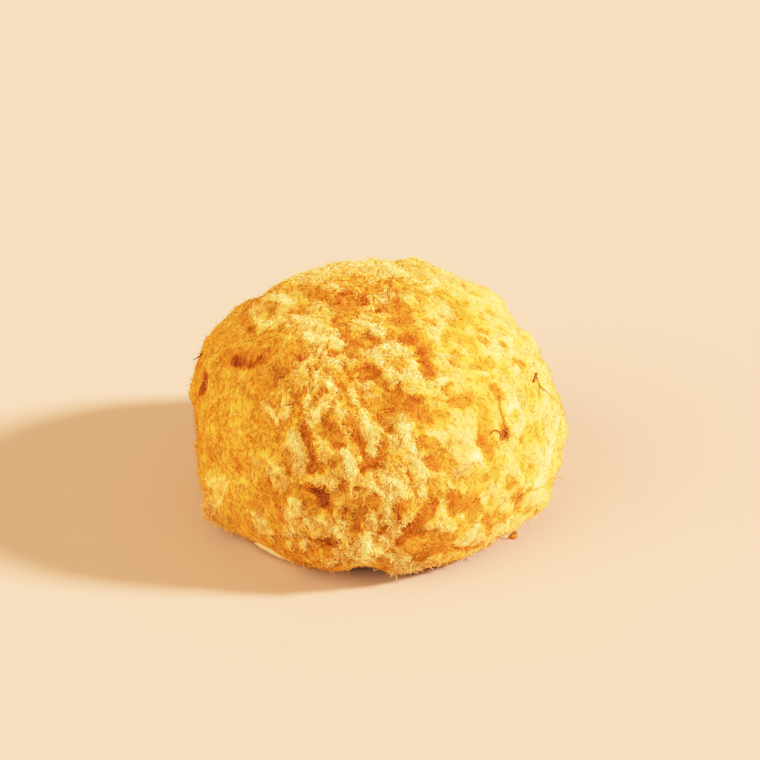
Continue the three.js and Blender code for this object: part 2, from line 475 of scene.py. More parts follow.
# %% Rim
RIM_HEIGHT = 2.3 * MM
LOWEST_RIM = 0.7 * MM
PROFILE_STEPS = 2001
RIM_WAVES = [(3, 0.5, 1), (7, 0.3, 0)]  # waves to a turn, height in mm, phase
RIM_FEATURES = [  # azimuth and half angle in degrees, lift in mm
    (219, 14, 2.8),
    (233, 13, 4.2),
    (268, 11, 4.0),
    (281, 9, -1.6),
    (294, 12, 1.8),
    (308, 14, 1.0),
    (60, 20, 1.2),
]


def rim_height(turn):
    """Height of the edge: the mean, two waves and the humps near their azimuths."""
    height = RIM_HEIGHT
    for waves, rise, phase in RIM_WAVES:
        height = height + rise * MM * np.sin(waves * turn + phase)
    for azimuth, half_angle, lift in RIM_FEATURES:
        height = height + lift * MM * hump(degrees_from(azimuth, turn) / half_angle)
    return np.maximum(height, LOWEST_RIM)


def skirt_u(height):
    """The u at which the coat's skirt is at a height."""
    share = np.clip(1 - height / EQUATOR, 0, 1) ** (coat_form.skirt / 2)
    return 1 + np.arcsin(share) / QUARTER


def lengths_along(line):
    """Length of a line from its first point to each of its points."""
    return np.concatenate([[0], np.cumsum(np.linalg.norm(np.diff(line, axis=0), axis=1))])


u_steps = np.linspace(0, 2, PROFILE_STEPS)
arc_steps = lengths_along(np.stack(section(coat_form, u_steps), -1))


def arc_of(u):
    """Length of the section from the top down to u."""
    return np.interp(u, u_steps, arc_steps)


def u_at_arc(arc):
    """The u at a length of the section from the top."""
    return np.interp(arc, arc_steps, u_steps)


print("section", round(arc_of(skirt_u(RIM_HEIGHT)) / MM, 1), "mm from the top to the edge")

# %% [markdown]
# ## Places seen in the picture
# Some pale wisps, orange hollows and toasted spots are told apart at once, so they belong where the
# photograph has them. A pixel is a line of sight from the camera. The place is where that line first
# goes into the coat's form or, if it misses, passes nearest, found by stepping along it.

# %% From pixels to the coat
SIGHT_STEPS = 600
NEAREST = DISTANCE - 70 * MM
FARTHEST = DISTANCE + 40 * MM
SIGHT_ROUNDS = 3


def coat_place(points):
    """Turn and u of points on or near the coat: u is the ray's own angle on the dome and comes from
    the height on the skirt."""
    radius = np.hypot(points[..., 0], points[..., 1])
    dome_u = np.arctan2(radius, np.maximum(points[..., 2] - EQUATOR, 0)) / QUARTER
    u = np.where(points[..., 2] >= EQUATOR, dome_u, skirt_u(points[..., 2]))
    return np.arctan2(points[..., 1], points[..., 0]) % TURN, u


def sight_through(pixels):
    """Directions of the lines of sight through pixels, one deep along the camera's own axis."""
    pixels = np.atleast_2d(np.array(pixels, float))
    focal = IMAGE * LENS_MM / SENSOR_MM
    across = (pixels[:, :1] - IMAGE / 2) / focal
    over = (IMAGE / 2 - pixels[:, 1:2]) / focal
    return ahead + across * rightwards + over * upwards


def on_coat_at(pixels):
    """Turn and u where the lines of sight through these pixels first go inside the coat, or pass
    nearest to it: the bare form, then the form raised by the lumps found there, a few times over."""
    steps = np.linspace(NEAREST, FARTHEST, SIGHT_STEPS)
    points = eye + sight_through(pixels)[:, None, :] * steps[None, :, None]
    turn, u = coat_place(points)
    middle = np.array([0, 0, EQUATOR])
    surface = np.linalg.norm(on_bun(coat_form, turn, u)[0] - middle, axis=-1)
    depth = surface - np.linalg.norm(points - middle, axis=-1)
    chosen = np.arange(len(points))
    rise = np.zeros(len(points))
    for _ in range(SIGHT_ROUNDS):
        inside = depth + rise[:, None] >= 0
        inside[chosen, depth.argmax(1)] = True
        first = inside.argmax(1)
        met = turn[chosen, first], u[chosen, first]
        rise = rise_of(on_bun(coat_form, *met)[0])
    return met


print("lines of sight stepped through", round((FARTHEST - NEAREST) / MM), "mm")

# %% Pale wisps
PALE_WISPS = [  # pixels across and down along it, radius in mm, how pale
    ([(266, 299), (280, 299), (292, 305)], 2.2, 1.0),
    ([(254, 310), (256, 320), (264, 326), (272, 323)], 1.8, 1.0),
    ([(243, 331), (240, 325)], 1.0, 0.6),
    ([(298, 319), (310, 324), (322, 328), (333, 333)], 2.6, 0.6),
    ([(307, 336), (318, 343), (331, 340), (337, 347)], 2.4, 0.6),
    ([(318, 352), (326, 357), (333, 363), (337, 369)], 1.4, 0.8),
    ([(302, 374), (305, 364), (314, 359)], 1.6, 0.6),
    ([(330, 287), (338, 292)], 1.5, 0.9),
    ([(360, 323), (372, 326), (378, 334)], 1.7, 0.9),
    ([(386, 286), (386, 300), (388, 314)], 1.1, 0.5),
    ([(322, 272), (336, 271)], 1.6, 0.6),
    ([(352, 268), (374, 266)], 1.5, 0.7),
    ([(384, 268), (400, 272), (412, 280)], 1.8, 0.8),
    ([(402, 263), (428, 268), (450, 276)], 1.8, 0.7),
    ([(345, 352), (352, 356)], 1.2, 0.4),
    ([(376, 354), (383, 348), (395, 350), (406, 348), (414, 353), (416, 361), (413, 370)], 1.2, 0.8),
    ([(413, 370), (405, 377), (395, 379), (386, 376), (380, 366), (376, 358)], 1.2, 0.8),
    ([(386, 356), (390, 362)], 1.2, 0.4),
    ([(418, 374), (414, 380)], 1.2, 0.8),
    ([(317, 374), (318, 385)], 1.3, 0.8),
    ([(329, 381), (333, 391), (331, 401)], 1.2, 0.6),
    ([(309, 394), (306, 406), (309, 418), (312, 427)], 1.2, 0.6),
    ([(331, 407), (322, 406), (314, 412), (317, 421)], 1.5, 0.7),
    ([(340, 383), (350, 388), (354, 398), (357, 406), (362, 414)], 1.0, 0.6),
    ([(352, 389), (362, 392), (369, 400), (373, 408)], 0.9, 0.4),
    ([(336, 404), (340, 414), (341, 424)], 1.0, 0.5),
    ([(365, 416), (371, 428), (374, 440), (374, 450), (372, 457)], 1.1, 0.9),
    ([(380, 430), (388, 437), (397, 444)], 0.9, 0.5),
    ([(399, 417), (404, 430), (407, 442), (413, 456), (419, 468), (424, 479)], 1.7, 1.0),
    ([(284, 401), (287, 409)], 1.8, 1.0),
    ([(264, 404), (272, 412), (278, 424)], 1.8, 0.8),
    ([(295, 427), (293, 440), (298, 450), (304, 457)], 1.3, 1.0),
    ([(313, 431), (320, 440), (324, 448)], 0.9, 0.8),
    ([(331, 451), (336, 460)], 0.9, 0.5),
    ([(345, 453), (349, 462), (353, 474)], 1.7, 1.0),
    ([(345, 430), (349, 436)], 1.0, 0.4),
    ([(370, 481), (384, 476), (395, 481), (404, 487), (396, 496), (384, 493), (374, 489)], 1.5, 0.9),
    ([(388, 497), (388, 508), (388, 519)], 1.3, 0.9),
    ([(385, 462), (395, 462), (403, 468)], 0.9, 0.4),
    ([(369, 468), (373, 472)], 0.9, 0.6),
    ([(292, 466), (300, 462)], 1.2, 0.5),
    ([(318, 478), (330, 480), (336, 486)], 1.2, 0.4),
    ([(424, 484), (420, 494)], 1.6, 0.6),
    ([(292, 500), (289, 513), (292, 527)], 1.9, 1.0),
    ([(305, 513), (308, 525)], 1.7, 1.0),
    ([(343, 522), (334, 529), (340, 537)], 1.7, 1.0),
    ([(318, 518), (326, 524)], 1.3, 0.7),
    ([(253, 514), (264, 521)], 1.7, 0.6),
    ([(302, 546), (308, 540)], 1.1, 0.7),
    ([(333, 562), (338, 561)], 1.0, 0.8),
    ([(367, 532), (367, 545), (364, 557)], 1.6, 1.0),
    ([(345, 563), (352, 565)], 1.0, 0.8),
    ([(350, 548), (356, 558)], 1.1, 0.8),
    ([(376, 548), (390, 554), (400, 560), (408, 568), (411, 574)], 1.4, 0.9),
    ([(385, 538), (394, 531), (402, 525), (410, 521)], 1.1, 0.6),
    ([(424, 540), (432, 534), (440, 541)], 1.1, 0.7),
    ([(464, 543), (472, 535), (478, 526)], 1.7, 0.9),
    ([(440, 500), (443, 512), (447, 520)], 1.0, 0.4),
    ([(438, 523)], 1.6, 0.3),
    ([(452, 533)], 0.9, 0.7),
    ([(461, 515)], 0.8, 0.6),
    ([(491, 539)], 1.5, 0.8),
    ([(484, 492), (482, 499)], 1.4, 0.7),
    ([(374, 515), (378, 522)], 1.1, 0.8),
    ([(207, 478), (216, 484), (226, 480), (222, 496), (214, 502)], 3.4, 0.6),
    ([(215, 503), (212, 512), (208, 519)], 1.8, 0.7),
    ([(252, 474), (256, 483)], 1.1, 0.6),
    ([(272, 472), (277, 487)], 1.3, 0.5),
    ([(206, 460), (205, 468)], 1.2, 0.4),
    ([(212, 428), (216, 444)], 2.6, 0.3),
    ([(264, 455), (272, 462)], 2.0, 0.3),
    ([(240, 432), (236, 424)], 1.8, 0.25),
    ([(244, 518), (258, 526), (272, 530)], 2.0, 0.3),
    ([(505, 402), (520, 412), (516, 428)], 3.0, 0.3),
    ([(545, 392), (550, 420), (548, 450), (540, 480), (528, 505)], 3.5, 0.4),
    ([(470, 455), (480, 462)], 2.5, 0.4),
    ([(508, 520), (520, 512), (534, 500)], 3.0, 0.5),
    ([(430, 432), (442, 437)], 2.4, 0.5),
    ([(392, 436), (400, 446)], 1.6, 0.5),
    ([(300, 506), (296, 518)], 2.0, 0.9),
    ([(276, 466), (284, 478)], 2.0, 0.6),
    ([(436, 384), (446, 378)], 2.2, 0.5),
    ([(232, 344), (250, 343), (268, 345)], 0.7, 0.5),
    ([(450, 430), (462, 438)], 2.4, 0.25),
    ([(276, 408), (286, 416)], 2.2, 0.4),
    ([(206, 499), (210, 511), (217, 518)], 2.2, 0.6),
    ([(366, 386), (380, 392), (372, 398)], 2.0, 0.4),
    ([(490, 530), (500, 524)], 2.0, 0.5),
    ([(320, 362), (330, 372)], 1.6, 0.5),
    ([(424, 290), (440, 284)], 2.5, 0.4),
]
print(len(PALE_WISPS), "pale wisps")

# %% Orange hollows
ORANGE_HOLLOWS = [  # likewise, with how deep an orange
    ([(324, 283), (345, 281)], 1.1, 0.6),
    ([(352, 277), (372, 279)], 0.9, 0.6),
    ([(378, 271)], 1.3, 0.4),
    ([(365, 294), (361, 302)], 1.7, 1.0),
    ([(352, 306), (338, 302), (330, 306)], 1.5, 0.8),
    ([(352, 314), (344, 320)], 1.2, 0.7),
    ([(335, 321)], 1.1, 0.9),
    ([(337, 328), (346, 333), (352, 338), (358, 344)], 1.4, 0.8),
    ([(378, 310)], 1.1, 1.0),
    ([(375, 300)], 1.2, 0.5),
    ([(395, 302), (402, 308), (410, 320)], 1.8, 0.8),
    ([(392, 321), (399, 320)], 1.0, 0.7),
    ([(387, 331)], 1.1, 0.6),
    ([(430, 322)], 1.8, 0.55),
    ([(453, 311)], 1.7, 0.6),
    ([(463, 286), (469, 291)], 1.0, 0.5),
    ([(370, 345), (382, 342), (391, 340)], 1.1, 0.8),
    ([(407, 336), (413, 343)], 1.7, 1.0),
    ([(421, 351), (425, 362), (428, 373)], 1.9, 1.0),
    ([(417, 331), (421, 329)], 0.8, 0.6),
    ([(246, 318), (240, 313)], 1.3, 0.6),
    ([(264, 331), (278, 331)], 0.9, 0.7),
    ([(262, 341), (276, 342)], 1.2, 0.6),
    ([(236, 346), (241, 353)], 1.2, 0.6),
    ([(290, 345), (292, 352)], 1.5, 0.4),
    ([(297, 357)], 1.4, 0.9),
    ([(255, 378), (270, 385)], 1.8, 0.3),
    ([(293, 394), (303, 392)], 1.1, 0.5),
    ([(221, 360), (224, 352)], 1.2, 0.6),
    ([(333, 354)], 1.6, 1.0),
    ([(343, 364), (347, 368)], 1.0, 0.7),
    ([(327, 369)], 1.2, 0.4),
    ([(352, 373), (360, 367), (370, 366), (375, 373), (364, 378)], 1.4, 0.8),
    ([(402, 361), (394, 367)], 1.1, 0.5),
    ([(398, 384), (397, 398), (392, 410)], 1.1, 0.7),
    ([(383, 386)], 1.1, 0.5),
    ([(319, 396)], 1.8, 0.5),
    ([(340, 393), (343, 404)], 1.2, 0.4),
    ([(361, 399), (365, 407)], 1.0, 0.5),
    ([(416, 400), (412, 412), (428, 416)], 2.4, 0.75),
    ([(299, 403), (297, 414)], 1.3, 0.5),
    ([(382, 418), (388, 428)], 1.8, 0.5),
    ([(326, 423), (331, 430)], 1.3, 0.7),
    ([(350, 415), (354, 426)], 1.3, 0.4),
    ([(304, 426), (309, 441), (314, 455)], 1.6, 0.9),
    ([(310, 469)], 1.8, 1.0),
    ([(333, 446), (344, 447)], 1.1, 0.7),
    ([(333, 464)], 1.2, 0.6),
    ([(356, 436), (362, 448), (366, 460), (362, 471)], 1.4, 0.8),
    ([(381, 450), (377, 460), (369, 464)], 1.5, 0.9),
    ([(430, 459), (438, 468)], 1.9, 1.0),
    ([(410, 475)], 1.2, 0.6),
    ([(346, 483), (340, 491)], 1.3, 0.7),
    ([(358, 486)], 1.0, 0.6),
    ([(363, 510), (356, 516), (357, 529)], 1.4, 0.9),
    ([(397, 511), (410, 505)], 1.3, 0.8),
    ([(432, 505), (424, 517), (412, 527)], 1.9, 0.9),
    ([(384, 528)], 1.3, 0.6),
    ([(408, 534), (401, 541)], 1.8, 1.0),
    ([(430, 550), (424, 558)], 1.6, 1.0),
    ([(440, 550), (460, 551), (476, 546)], 1.3, 0.8),
    ([(450, 538)], 1.0, 0.7),
    ([(452, 497), (464, 506), (473, 494), (476, 509)], 2.5, 0.8),
    ([(462, 526)], 2.2, 0.7),
    ([(484, 515), (490, 526), (488, 535)], 1.2, 0.6),
    ([(480, 543)], 1.0, 0.7),
    ([(279, 508), (280, 521)], 1.3, 0.8),
    ([(240, 503), (262, 507)], 1.4, 0.4),
    ([(262, 536), (276, 541)], 1.5, 0.4),
    ([(290, 552), (308, 556)], 1.5, 0.6),
    ([(216, 406), (208, 412), (205, 422)], 1.8, 0.5),
    ([(493, 439), (498, 447)], 1.4, 0.5),
    ([(231, 454), (240, 468)], 1.5, 1.0),
    ([(241, 487)], 1.1, 0.8),
    ([(265, 477), (270, 484)], 1.3, 0.7),
    ([(288, 461), (291, 474)], 1.1, 0.6),
    ([(249, 438)], 1.5, 0.4),
    ([(258, 404)], 1.2, 0.4),
    ([(453, 363)], 1.6, 0.6),
    ([(474, 366), (490, 362)], 1.7, 0.5),
    ([(494, 388), (500, 396)], 2.4, 1.0),
    ([(452, 402), (468, 400)], 2.2, 0.6),
    ([(513, 363), (522, 363)], 1.5, 0.55),
    ([(503, 344)], 1.8, 0.9),
    ([(543, 424)], 1.6, 0.55),
    ([(480, 440), (490, 449)], 2.3, 0.75),
    ([(503, 428), (506, 437)], 1.5, 0.9),
    ([(521, 438)], 1.6, 0.5),
    ([(511, 484)], 2.0, 0.8),
    ([(514, 499)], 1.6, 0.5),
    ([(484, 341)], 2.2, 0.8),
    ([(446, 388)], 1.8, 0.4),
    ([(440, 415)], 2.0, 0.45),
    ([(522, 468)], 1.6, 0.45),
    ([(446, 472), (456, 480)], 2.0, 0.6),
    ([(424, 440), (436, 444)], 1.8, 0.5),
    ([(516, 513), (530, 508)], 1.8, 0.5),
    ([(496, 517), (506, 520)], 2.0, 0.4),
    ([(486, 478), (494, 470)], 1.8, 0.3),
    ([(340, 290), (350, 300), (346, 312), (340, 324)], 3.2, 0.55),
    ([(392, 312), (404, 326), (416, 340), (424, 356)], 3.4, 0.55),
    ([(342, 334), (352, 344), (350, 352)], 2.2, 0.7),
    ([(366, 338), (378, 342)], 1.8, 0.5),
    ([(390, 336), (402, 338), (410, 346)], 2.0, 0.8),
    ([(422, 356), (428, 366), (426, 376)], 2.6, 0.8),
    ([(398, 404), (396, 418)], 2.4, 0.5),
    ([(452, 508), (470, 508), (472, 518)], 2.6, 0.6),
    ([(228, 338), (246, 336), (262, 338)], 0.9, 0.7),
    ([(232, 350), (250, 349), (270, 352), (284, 350)], 0.9, 0.7),
    ([(244, 371), (262, 372), (284, 374)], 1.0, 0.5),
    ([(412, 530), (428, 538), (446, 540)], 3.0, 0.6),
    ([(444, 296), (462, 312), (452, 332), (468, 344)], 3.0, 0.3),
    ([(226, 344), (250, 346), (262, 340)], 3.0, 0.5),
    ([(200, 388), (206, 396)], 2.5, 0.5),
    ([(226, 404), (222, 420)], 3.0, 0.3),
    ([(468, 396), (480, 408), (486, 430)], 2.6, 0.3),
    ([(440, 456), (452, 470)], 2.6, 0.4),
    ([(316, 458), (322, 470)], 1.8, 0.5),
]
print(len(ORANGE_HOLLOWS), "orange hollows")

# %% Toasted spots, cream tufts and fuzzy places
TOASTED_SPOTS = [  # likewise, with how dark
    ([(233, 361), (242, 363)], 2.1, 1.0),
    ([(250, 364), (260, 360)], 1.9, 0.9),
    ([(206, 380), (200, 389)], 3.0, 1.0),
    ([(224, 357), (242, 360), (262, 358)], 3.4, 0.35),
    ([(316, 489), (325, 494), (324, 503)], 2.0, 1.0),
    ([(308, 484)], 1.1, 0.6),
    ([(318, 538), (328, 544), (333, 541)], 1.5, 0.9),
    ([(250, 327), (253, 331)], 1.4, 1.0),
    ([(345, 512)], 1.2, 0.8),
    ([(331, 513)], 1.1, 0.6),
    ([(299, 357)], 1.2, 0.7),
    ([(378, 310)], 1.4, 0.7),
    ([(410, 338), (414, 343)], 1.6, 0.3),
    ([(422, 352), (427, 364), (428, 372)], 1.8, 0.35),
    ([(239, 466)], 1.2, 0.4),
    ([(505, 432)], 1.6, 0.5),
]
CREAM_TUFTS = [  # likewise, with how high it stands
    ([(346, 455), (349, 463), (352, 472)], 1.7, 1.0),
    ([(367, 533), (367, 545), (364, 556)], 1.6, 1.0),
    ([(295, 429), (293, 440), (298, 450), (303, 456)], 1.1, 0.7),
    ([(402, 424), (407, 440), (412, 452)], 1.2, 0.6),
    ([(388, 480), (398, 484)], 1.2, 0.4),
]
FUZZY_PLACES = [  # likewise, with how much more fringe grows there
    ([(201, 484), (205, 496)], 2.0, 0.5),
    ([(207, 505), (209, 513), (214, 518), (222, 524)], 2.4, 1.0),
]
print(len(TOASTED_SPOTS), "toasted spots,", len(CREAM_TUFTS), "cream tufts")

# %% Marks along the strokes
DOT_GAP = 3  # pixels


def stroke_dots(pixels):
    """Pixels set close along the line through these."""
    corners = np.array(pixels, float)
    steps = lengths_along(corners)
    spots = np.linspace(0, steps[-1], 1 + math.ceil(steps[-1] / DOT_GAP))
    return np.stack([np.interp(spots, steps, corners[:, axis]) for axis in range(2)], -1)


def marks(strokes):
    """Round marks close along strokes of (pixels, radius in mm, weight), as their middles on the coat,
    their radii and their weights."""
    dots = [stroke_dots(pixels) for pixels, _, _ in strokes]
    counts = [len(line) for line in dots]
    radii = np.repeat([radius * MM for _, radius, _ in strokes], counts)
    weights = np.repeat([weight for _, _, weight in strokes], counts)
    return on_bun(coat_form, *on_coat_at(np.concatenate(dots)))[0], radii, weights


pale_marks = marks(PALE_WISPS)
hollow_marks = marks(ORANGE_HOLLOWS)
toast_marks = marks(TOASTED_SPOTS)
cream_marks = marks(CREAM_TUFTS)
fuzzy_marks = marks(FUZZY_PLACES)
print("wisps drawn as", len(pale_marks[1]), "marks, hollows as", len(hollow_marks[1]))

# %% [markdown]
# ## Fluff and tone
# Rolled floss isn't one even coat. Amber floss lies matted against the bread, and paler, looser
# fluff stands on it in ragged patches, so that amber shows in the hollows between them. Noise cut
# off at an edge gives such patches. Tone is one number for the colour at a place: 0 is toasted
# brown, a quarter orange, a half gold and 1 pale cream. It also carries some painted light and
# shade. The mat and the fibres read the same tone.

# %% Noise
CELL_STEPS = (12.9898, 78.233, 37.719)
SEED_STEP = 17.31
FIRST_CELL = 100  # well away from 0, where a sine mirrors itself
MARK_FADE = 0.55  # share of a mark's radius over which it fades
SEED = SimpleNamespace(
    streaks=2, fine_tone=4, flecks=8, specks=9, bends=11, ridges=14, grain=15, rolls=16, bunches=31,
    flow=32,
)


def lattice(cells, seed):
    """A repeatable number from 0 to 1 for each cell of space."""
    mixed = sum(cells[..., axis] * step for axis, step in enumerate(CELL_STEPS))
    return scrambled(mixed + seed * SEED_STEP)


def s_curve(share):
    """A share bent so that it leaves 0 and reaches 1 level."""
    return share * share * (3 - 2 * share)


def smooth_step(value, low, high):
    """0 below low, 1 above high, and an S curve between them."""
    return s_curve(np.clip((value - low) / (high - low), 0, 1))


def noise(points, feature, seed):
    """Soft noise from -1 to 1 with features of about this size: the eight corners of the cell round
    a point, blended by smooth weights."""
    scaled = points / feature + FIRST_CELL
    cell = np.floor(scaled)
    share = s_curve(scaled - cell)
    total = np.zeros(points.shape[:-1])
    for corner in np.ndindex(2, 2, 2):
        weight = np.prod(np.where(corner, share, 1 - share), axis=-1)
        total += weight * lattice(cell + corner, seed)
    return 2 * total - 1


def noise_sum(points, noises):
    """Several noises added up, each given by its feature in mm, its share and its seed."""
    return sum(share * noise(points, feature * MM, seed) for feature, share, seed in noises)


def stirred(points, feature, reach, seed):
    """Points pushed about by noise, so that what is round on them comes out ragged."""
    return points + reach * np.stack([noise(points, feature, seed + axis) for axis in range(3)], -1)


def cover(points, middles, radii, weights):
    """How far points are covered by round marks: a mark's weight well inside it and 0 outside all."""
    depth = np.zeros(points.shape[:-1])
    for middle, radius, weight in zip(middles, radii, weights):
        inside = 1 - np.linalg.norm(points - middle, axis=-1) / radius
        depth = np.maximum(depth, weight * smooth_step(inside, 0, MARK_FADE))
    return depth


# %% Fluff
FLUFF_MIDDLE = -0.10
FLUFF_TO_RIGHT = 0.42
FLUFF_AT_BACK = 0.65
BACK_SPAN = (2 * MM, 18 * MM)
FLUFF_NOISES = [(6.0, 0.45, 1), (1.2, 0.18, 5)]  # feature in mm, share, seed
STREAK_SHARE = 0.5
STREAK_FEATURE = 1.5 * MM
STREAK_LENGTH = 5 * MM
STREAK_STEPS = 7
STREAK_GAIN = 1.8
FLUFF_EDGES = (0.6, 0.2)  # where the floss lies calm and where it stands up
WISP_SHARE = 0.8
HALO_SHARE = 0.5
HOLLOW_SHARE = 1.9
LOOSE_SIDES = (-0.95, -0.35, 0.1, 0.5)  # of the half width, from left to right
LOOSE_SHARES = (0.3, 1.0, 1.0, 0.2)
FLOW_SIZE = 14 * MM
FLOW_DOWN = math.radians(75)
FLOW_ON_TOP = math.radians(20)
TOP_SPAN = (34 * MM, 50 * MM)
FLOW_SWING = math.radians(80)


def loose_at(points):
    """How far the floss stands up at points: most near the middle, least where it lies calm, at the far
    left and on the right."""
    return np.interp(points[..., 0] / coat_form.half_width, LOOSE_SIDES, LOOSE_SHARES)


def flow_at(points):
    """The heading that fibres lean to at points: downhill on the side and nearly level on top,
    swinging from place to place."""
    lean = between((FLOW_DOWN, FLOW_ON_TOP), smooth_step(points[..., 2], *TOP_SPAN))
    return lean + FLOW_SWING * noise(points, FLOW_SIZE, SEED.flow)


def axes_along(outwards):
    """Directions along a face: level, to the right as seen from outside, and downhill."""
    level = unit(np.cross([0, 0, 1.0], outwards))
    return level, np.cross(level, outwards)


def streaks(points, outwards):
    """Noise drawn out along the way that fibres lean: its mean over steps that way."""
    level, down = axes_along(outwards)
    heading = flow_at(points)[..., None]
    lean = np.cos(heading) * level + np.sin(heading) * down
    steps = np.linspace(-STREAK_LENGTH / 2, STREAK_LENGTH / 2, STREAK_STEPS)
    total = sum(noise(points + step * lean, STREAK_FEATURE, SEED.streaks) for step in steps)
    return STREAK_GAIN * total / STREAK_STEPS


def fluff_at(points, outwards, seen):
    """Share of fluff, 0 in a hollow and 1 on a patch: noise, streaks and the marked places, more to
    the right and the back, cut off at a soft edge."""
    field = FLUFF_MIDDLE + FLUFF_TO_RIGHT * points[..., 0] / coat_form.half_width
    field += FLUFF_AT_BACK * smooth_step(points[..., 1], *BACK_SPAN)
    field += noise_sum(points, FLUFF_NOISES) + STREAK_SHARE * streaks(points, outwards)
    field += WISP_SHARE * seen.pale + HALO_SHARE * seen.halo - HOLLOW_SHARE * seen.hollow
    edge = between(FLUFF_EDGES, loose_at(points))
    return smooth_step(field, -edge, edge)


# %% Tone
AMBER_TONE = (0.66, 0.50)  # on the far left, and right of there
FLUFF_TONE = (0.12, 0.22)  # above amber, likewise
LEFT_END = -0.75
LEFT_FADE = 0.5
HOLLOW_TONE = (-0.13, -0.23)  # left of the hollow side, and a half width right of it
HOLLOW_SIDE = -0.5
WISP_TONE = 0.30
CREAM_TONE = 0.10
# Painted light and shade by relief: tone raised on high relief and lowered in its lows.
RELIEF_PAINTED_SHADE = 0.15 / MM
# Painted light and shade by side: tone lowered towards the shaded left edge and raised towards the lit
# right.
PAINTED_LIGHT_SIDES = (-1.0, -0.2, 0.5, 1.0)
PAINTED_LIGHT_SHIFTS = (-0.20, -0.015, 0.06, 0.03)
TONE_NOISES = [(8.0, 0.06, 3), (3.0, 0.05, 6)]  # feature in mm, share, seed
FINE_TONE = 0.05
FINE_TONE_SIZE = 1.3 * MM
TONE_LIMITS = (0.02, 0.98)
TOAST_DEPTH = 0.66
# Partly browned floss and partly painted shade between fibres: the specks are deeper low on the bun,
# where more shade falls.
SPECK_AND_SHADE_DEPTH = (0.6, 0.35)  # low on the bun and high on it
SPECK_SPAN = (12 * MM, 34 * MM)
SPECK_SIZE = 1.0 * MM
SPECK_EDGE = (0.35, 0.75)


def tone_at(points, fluff, relief, seen):
    """Tone at points of the coat: amber to gold by the fluff, more alike on the far left, painted paler
    where the relief is high and darker in its lows as painted light and shade, shifted darker towards
    the shaded left and paler towards the lit right as painted light and shade, with soft patches,
    darkened by specks that are partly painted shade, and changed at the marked places."""
    side = points[..., 0] / coat_form.half_width
    loose = loose_at(points)
    share = np.clip((side - LEFT_END) / LEFT_FADE, 0, 1)
    tone = between(AMBER_TONE, share) + between(FLUFF_TONE, share) * fluff
    # Painted light and shade: paler on high relief, darker towards the shaded left and paler towards the
    # lit right.
    tone += RELIEF_PAINTED_SHADE * relief + np.interp(side, PAINTED_LIGHT_SIDES, PAINTED_LIGHT_SHIFTS)
    tone += noise_sum(points, TONE_NOISES)
    tone += FINE_TONE * loose * noise(points, FINE_TONE_SIZE, SEED.fine_tone)
    tone += WISP_TONE * seen.pale + CREAM_TONE * seen.cream
    tone += between(HOLLOW_TONE, np.clip(side - HOLLOW_SIDE, 0, 1)) * seen.hollow
    # Specks: browned bits and painted shade between the standing fibres.
    specks = smooth_step(noise(points, SPECK_SIZE, SEED.specks), *SPECK_EDGE) * loose
    specks *= between(SPECK_AND_SHADE_DEPTH, smooth_step(points[..., 2], *SPECK_SPAN))
    tone *= (1 - TOAST_DEPTH * seen.toast) * (1 - specks)
    return np.clip(tone, *TONE_LIMITS)


FLOSS_TONES = [  # tone and colour
    (0.00, (0.09, 0.018, 0.006)),
    (0.12, (0.26, 0.060, 0.009)),
    (0.25, (0.47, 0.140, 0.014)),
    (0.40, (0.62, 0.27, 0.026)),
    (0.58, (0.80, 0.45, 0.055)),
    (0.80, (0.96, 0.645, 0.215)),
    (0.90, (1.00, 0.86, 0.32)),
    (1.00, (1.00, 1.00, 0.46)),
]
print(len(FLOSS_TONES), "colours of floss")

# %% [markdown]
# ## Bread
# The bread shows only as a pale strip under the floss at the front left: a soft side that the oven
# left pale. It is the form at the bread's size, closed by a flat foot. Its crust is dark brown all
# round but for that side, which is cream and darkens towards the foot, with soft blotches. The dark
# brown is partly browned crust and partly painted shade, under the coat's edge and at the table.

# %% Bread
BREAD_AROUND = 160
BREAD_ROWS = 70
# Partly browned crust and partly painted shade: the darkest stops stand for shade under the coat's edge
# and at the table.
BREAD_COLOURS = [
    (0.0, (0.16, 0.06, 0.018)),
    (0.25, (0.42, 0.20, 0.06)),
    (0.5, (0.80, 0.56, 0.24)),
    (1.0, (0.90, 0.74, 0.40)),
]
BROWN_AND_SHADE_HEIGHT = 2.5 * MM
PALE_SIDE = (0.80, 0.90)  # of the foot's radius, towards its wide side
FOOT_RINGS = (0.97, 0.6, 0.0)  # of the foot's radius
BLOTCH = SimpleNamespace(size=2.5 * MM, detail=3.0, middle=0.4, share=0.8)
CRUMB = SimpleNamespace(size=0.7 * MM, depth=0.15 * MM, strength=0.5)


def bread_surface():
    """The form from its top to the table, then rings drawn in to the middle of the foot."""
    turn, u = np.meshgrid(np.arange(BREAD_AROUND) / BREAD_AROUND * TURN, np.linspace(0, 2, BREAD_ROWS))
    side = on_bun(bread_form(turn), turn, u)[0]
    return np.concatenate([side, np.stack([side[-1] * share for share in FOOT_RINGS])])


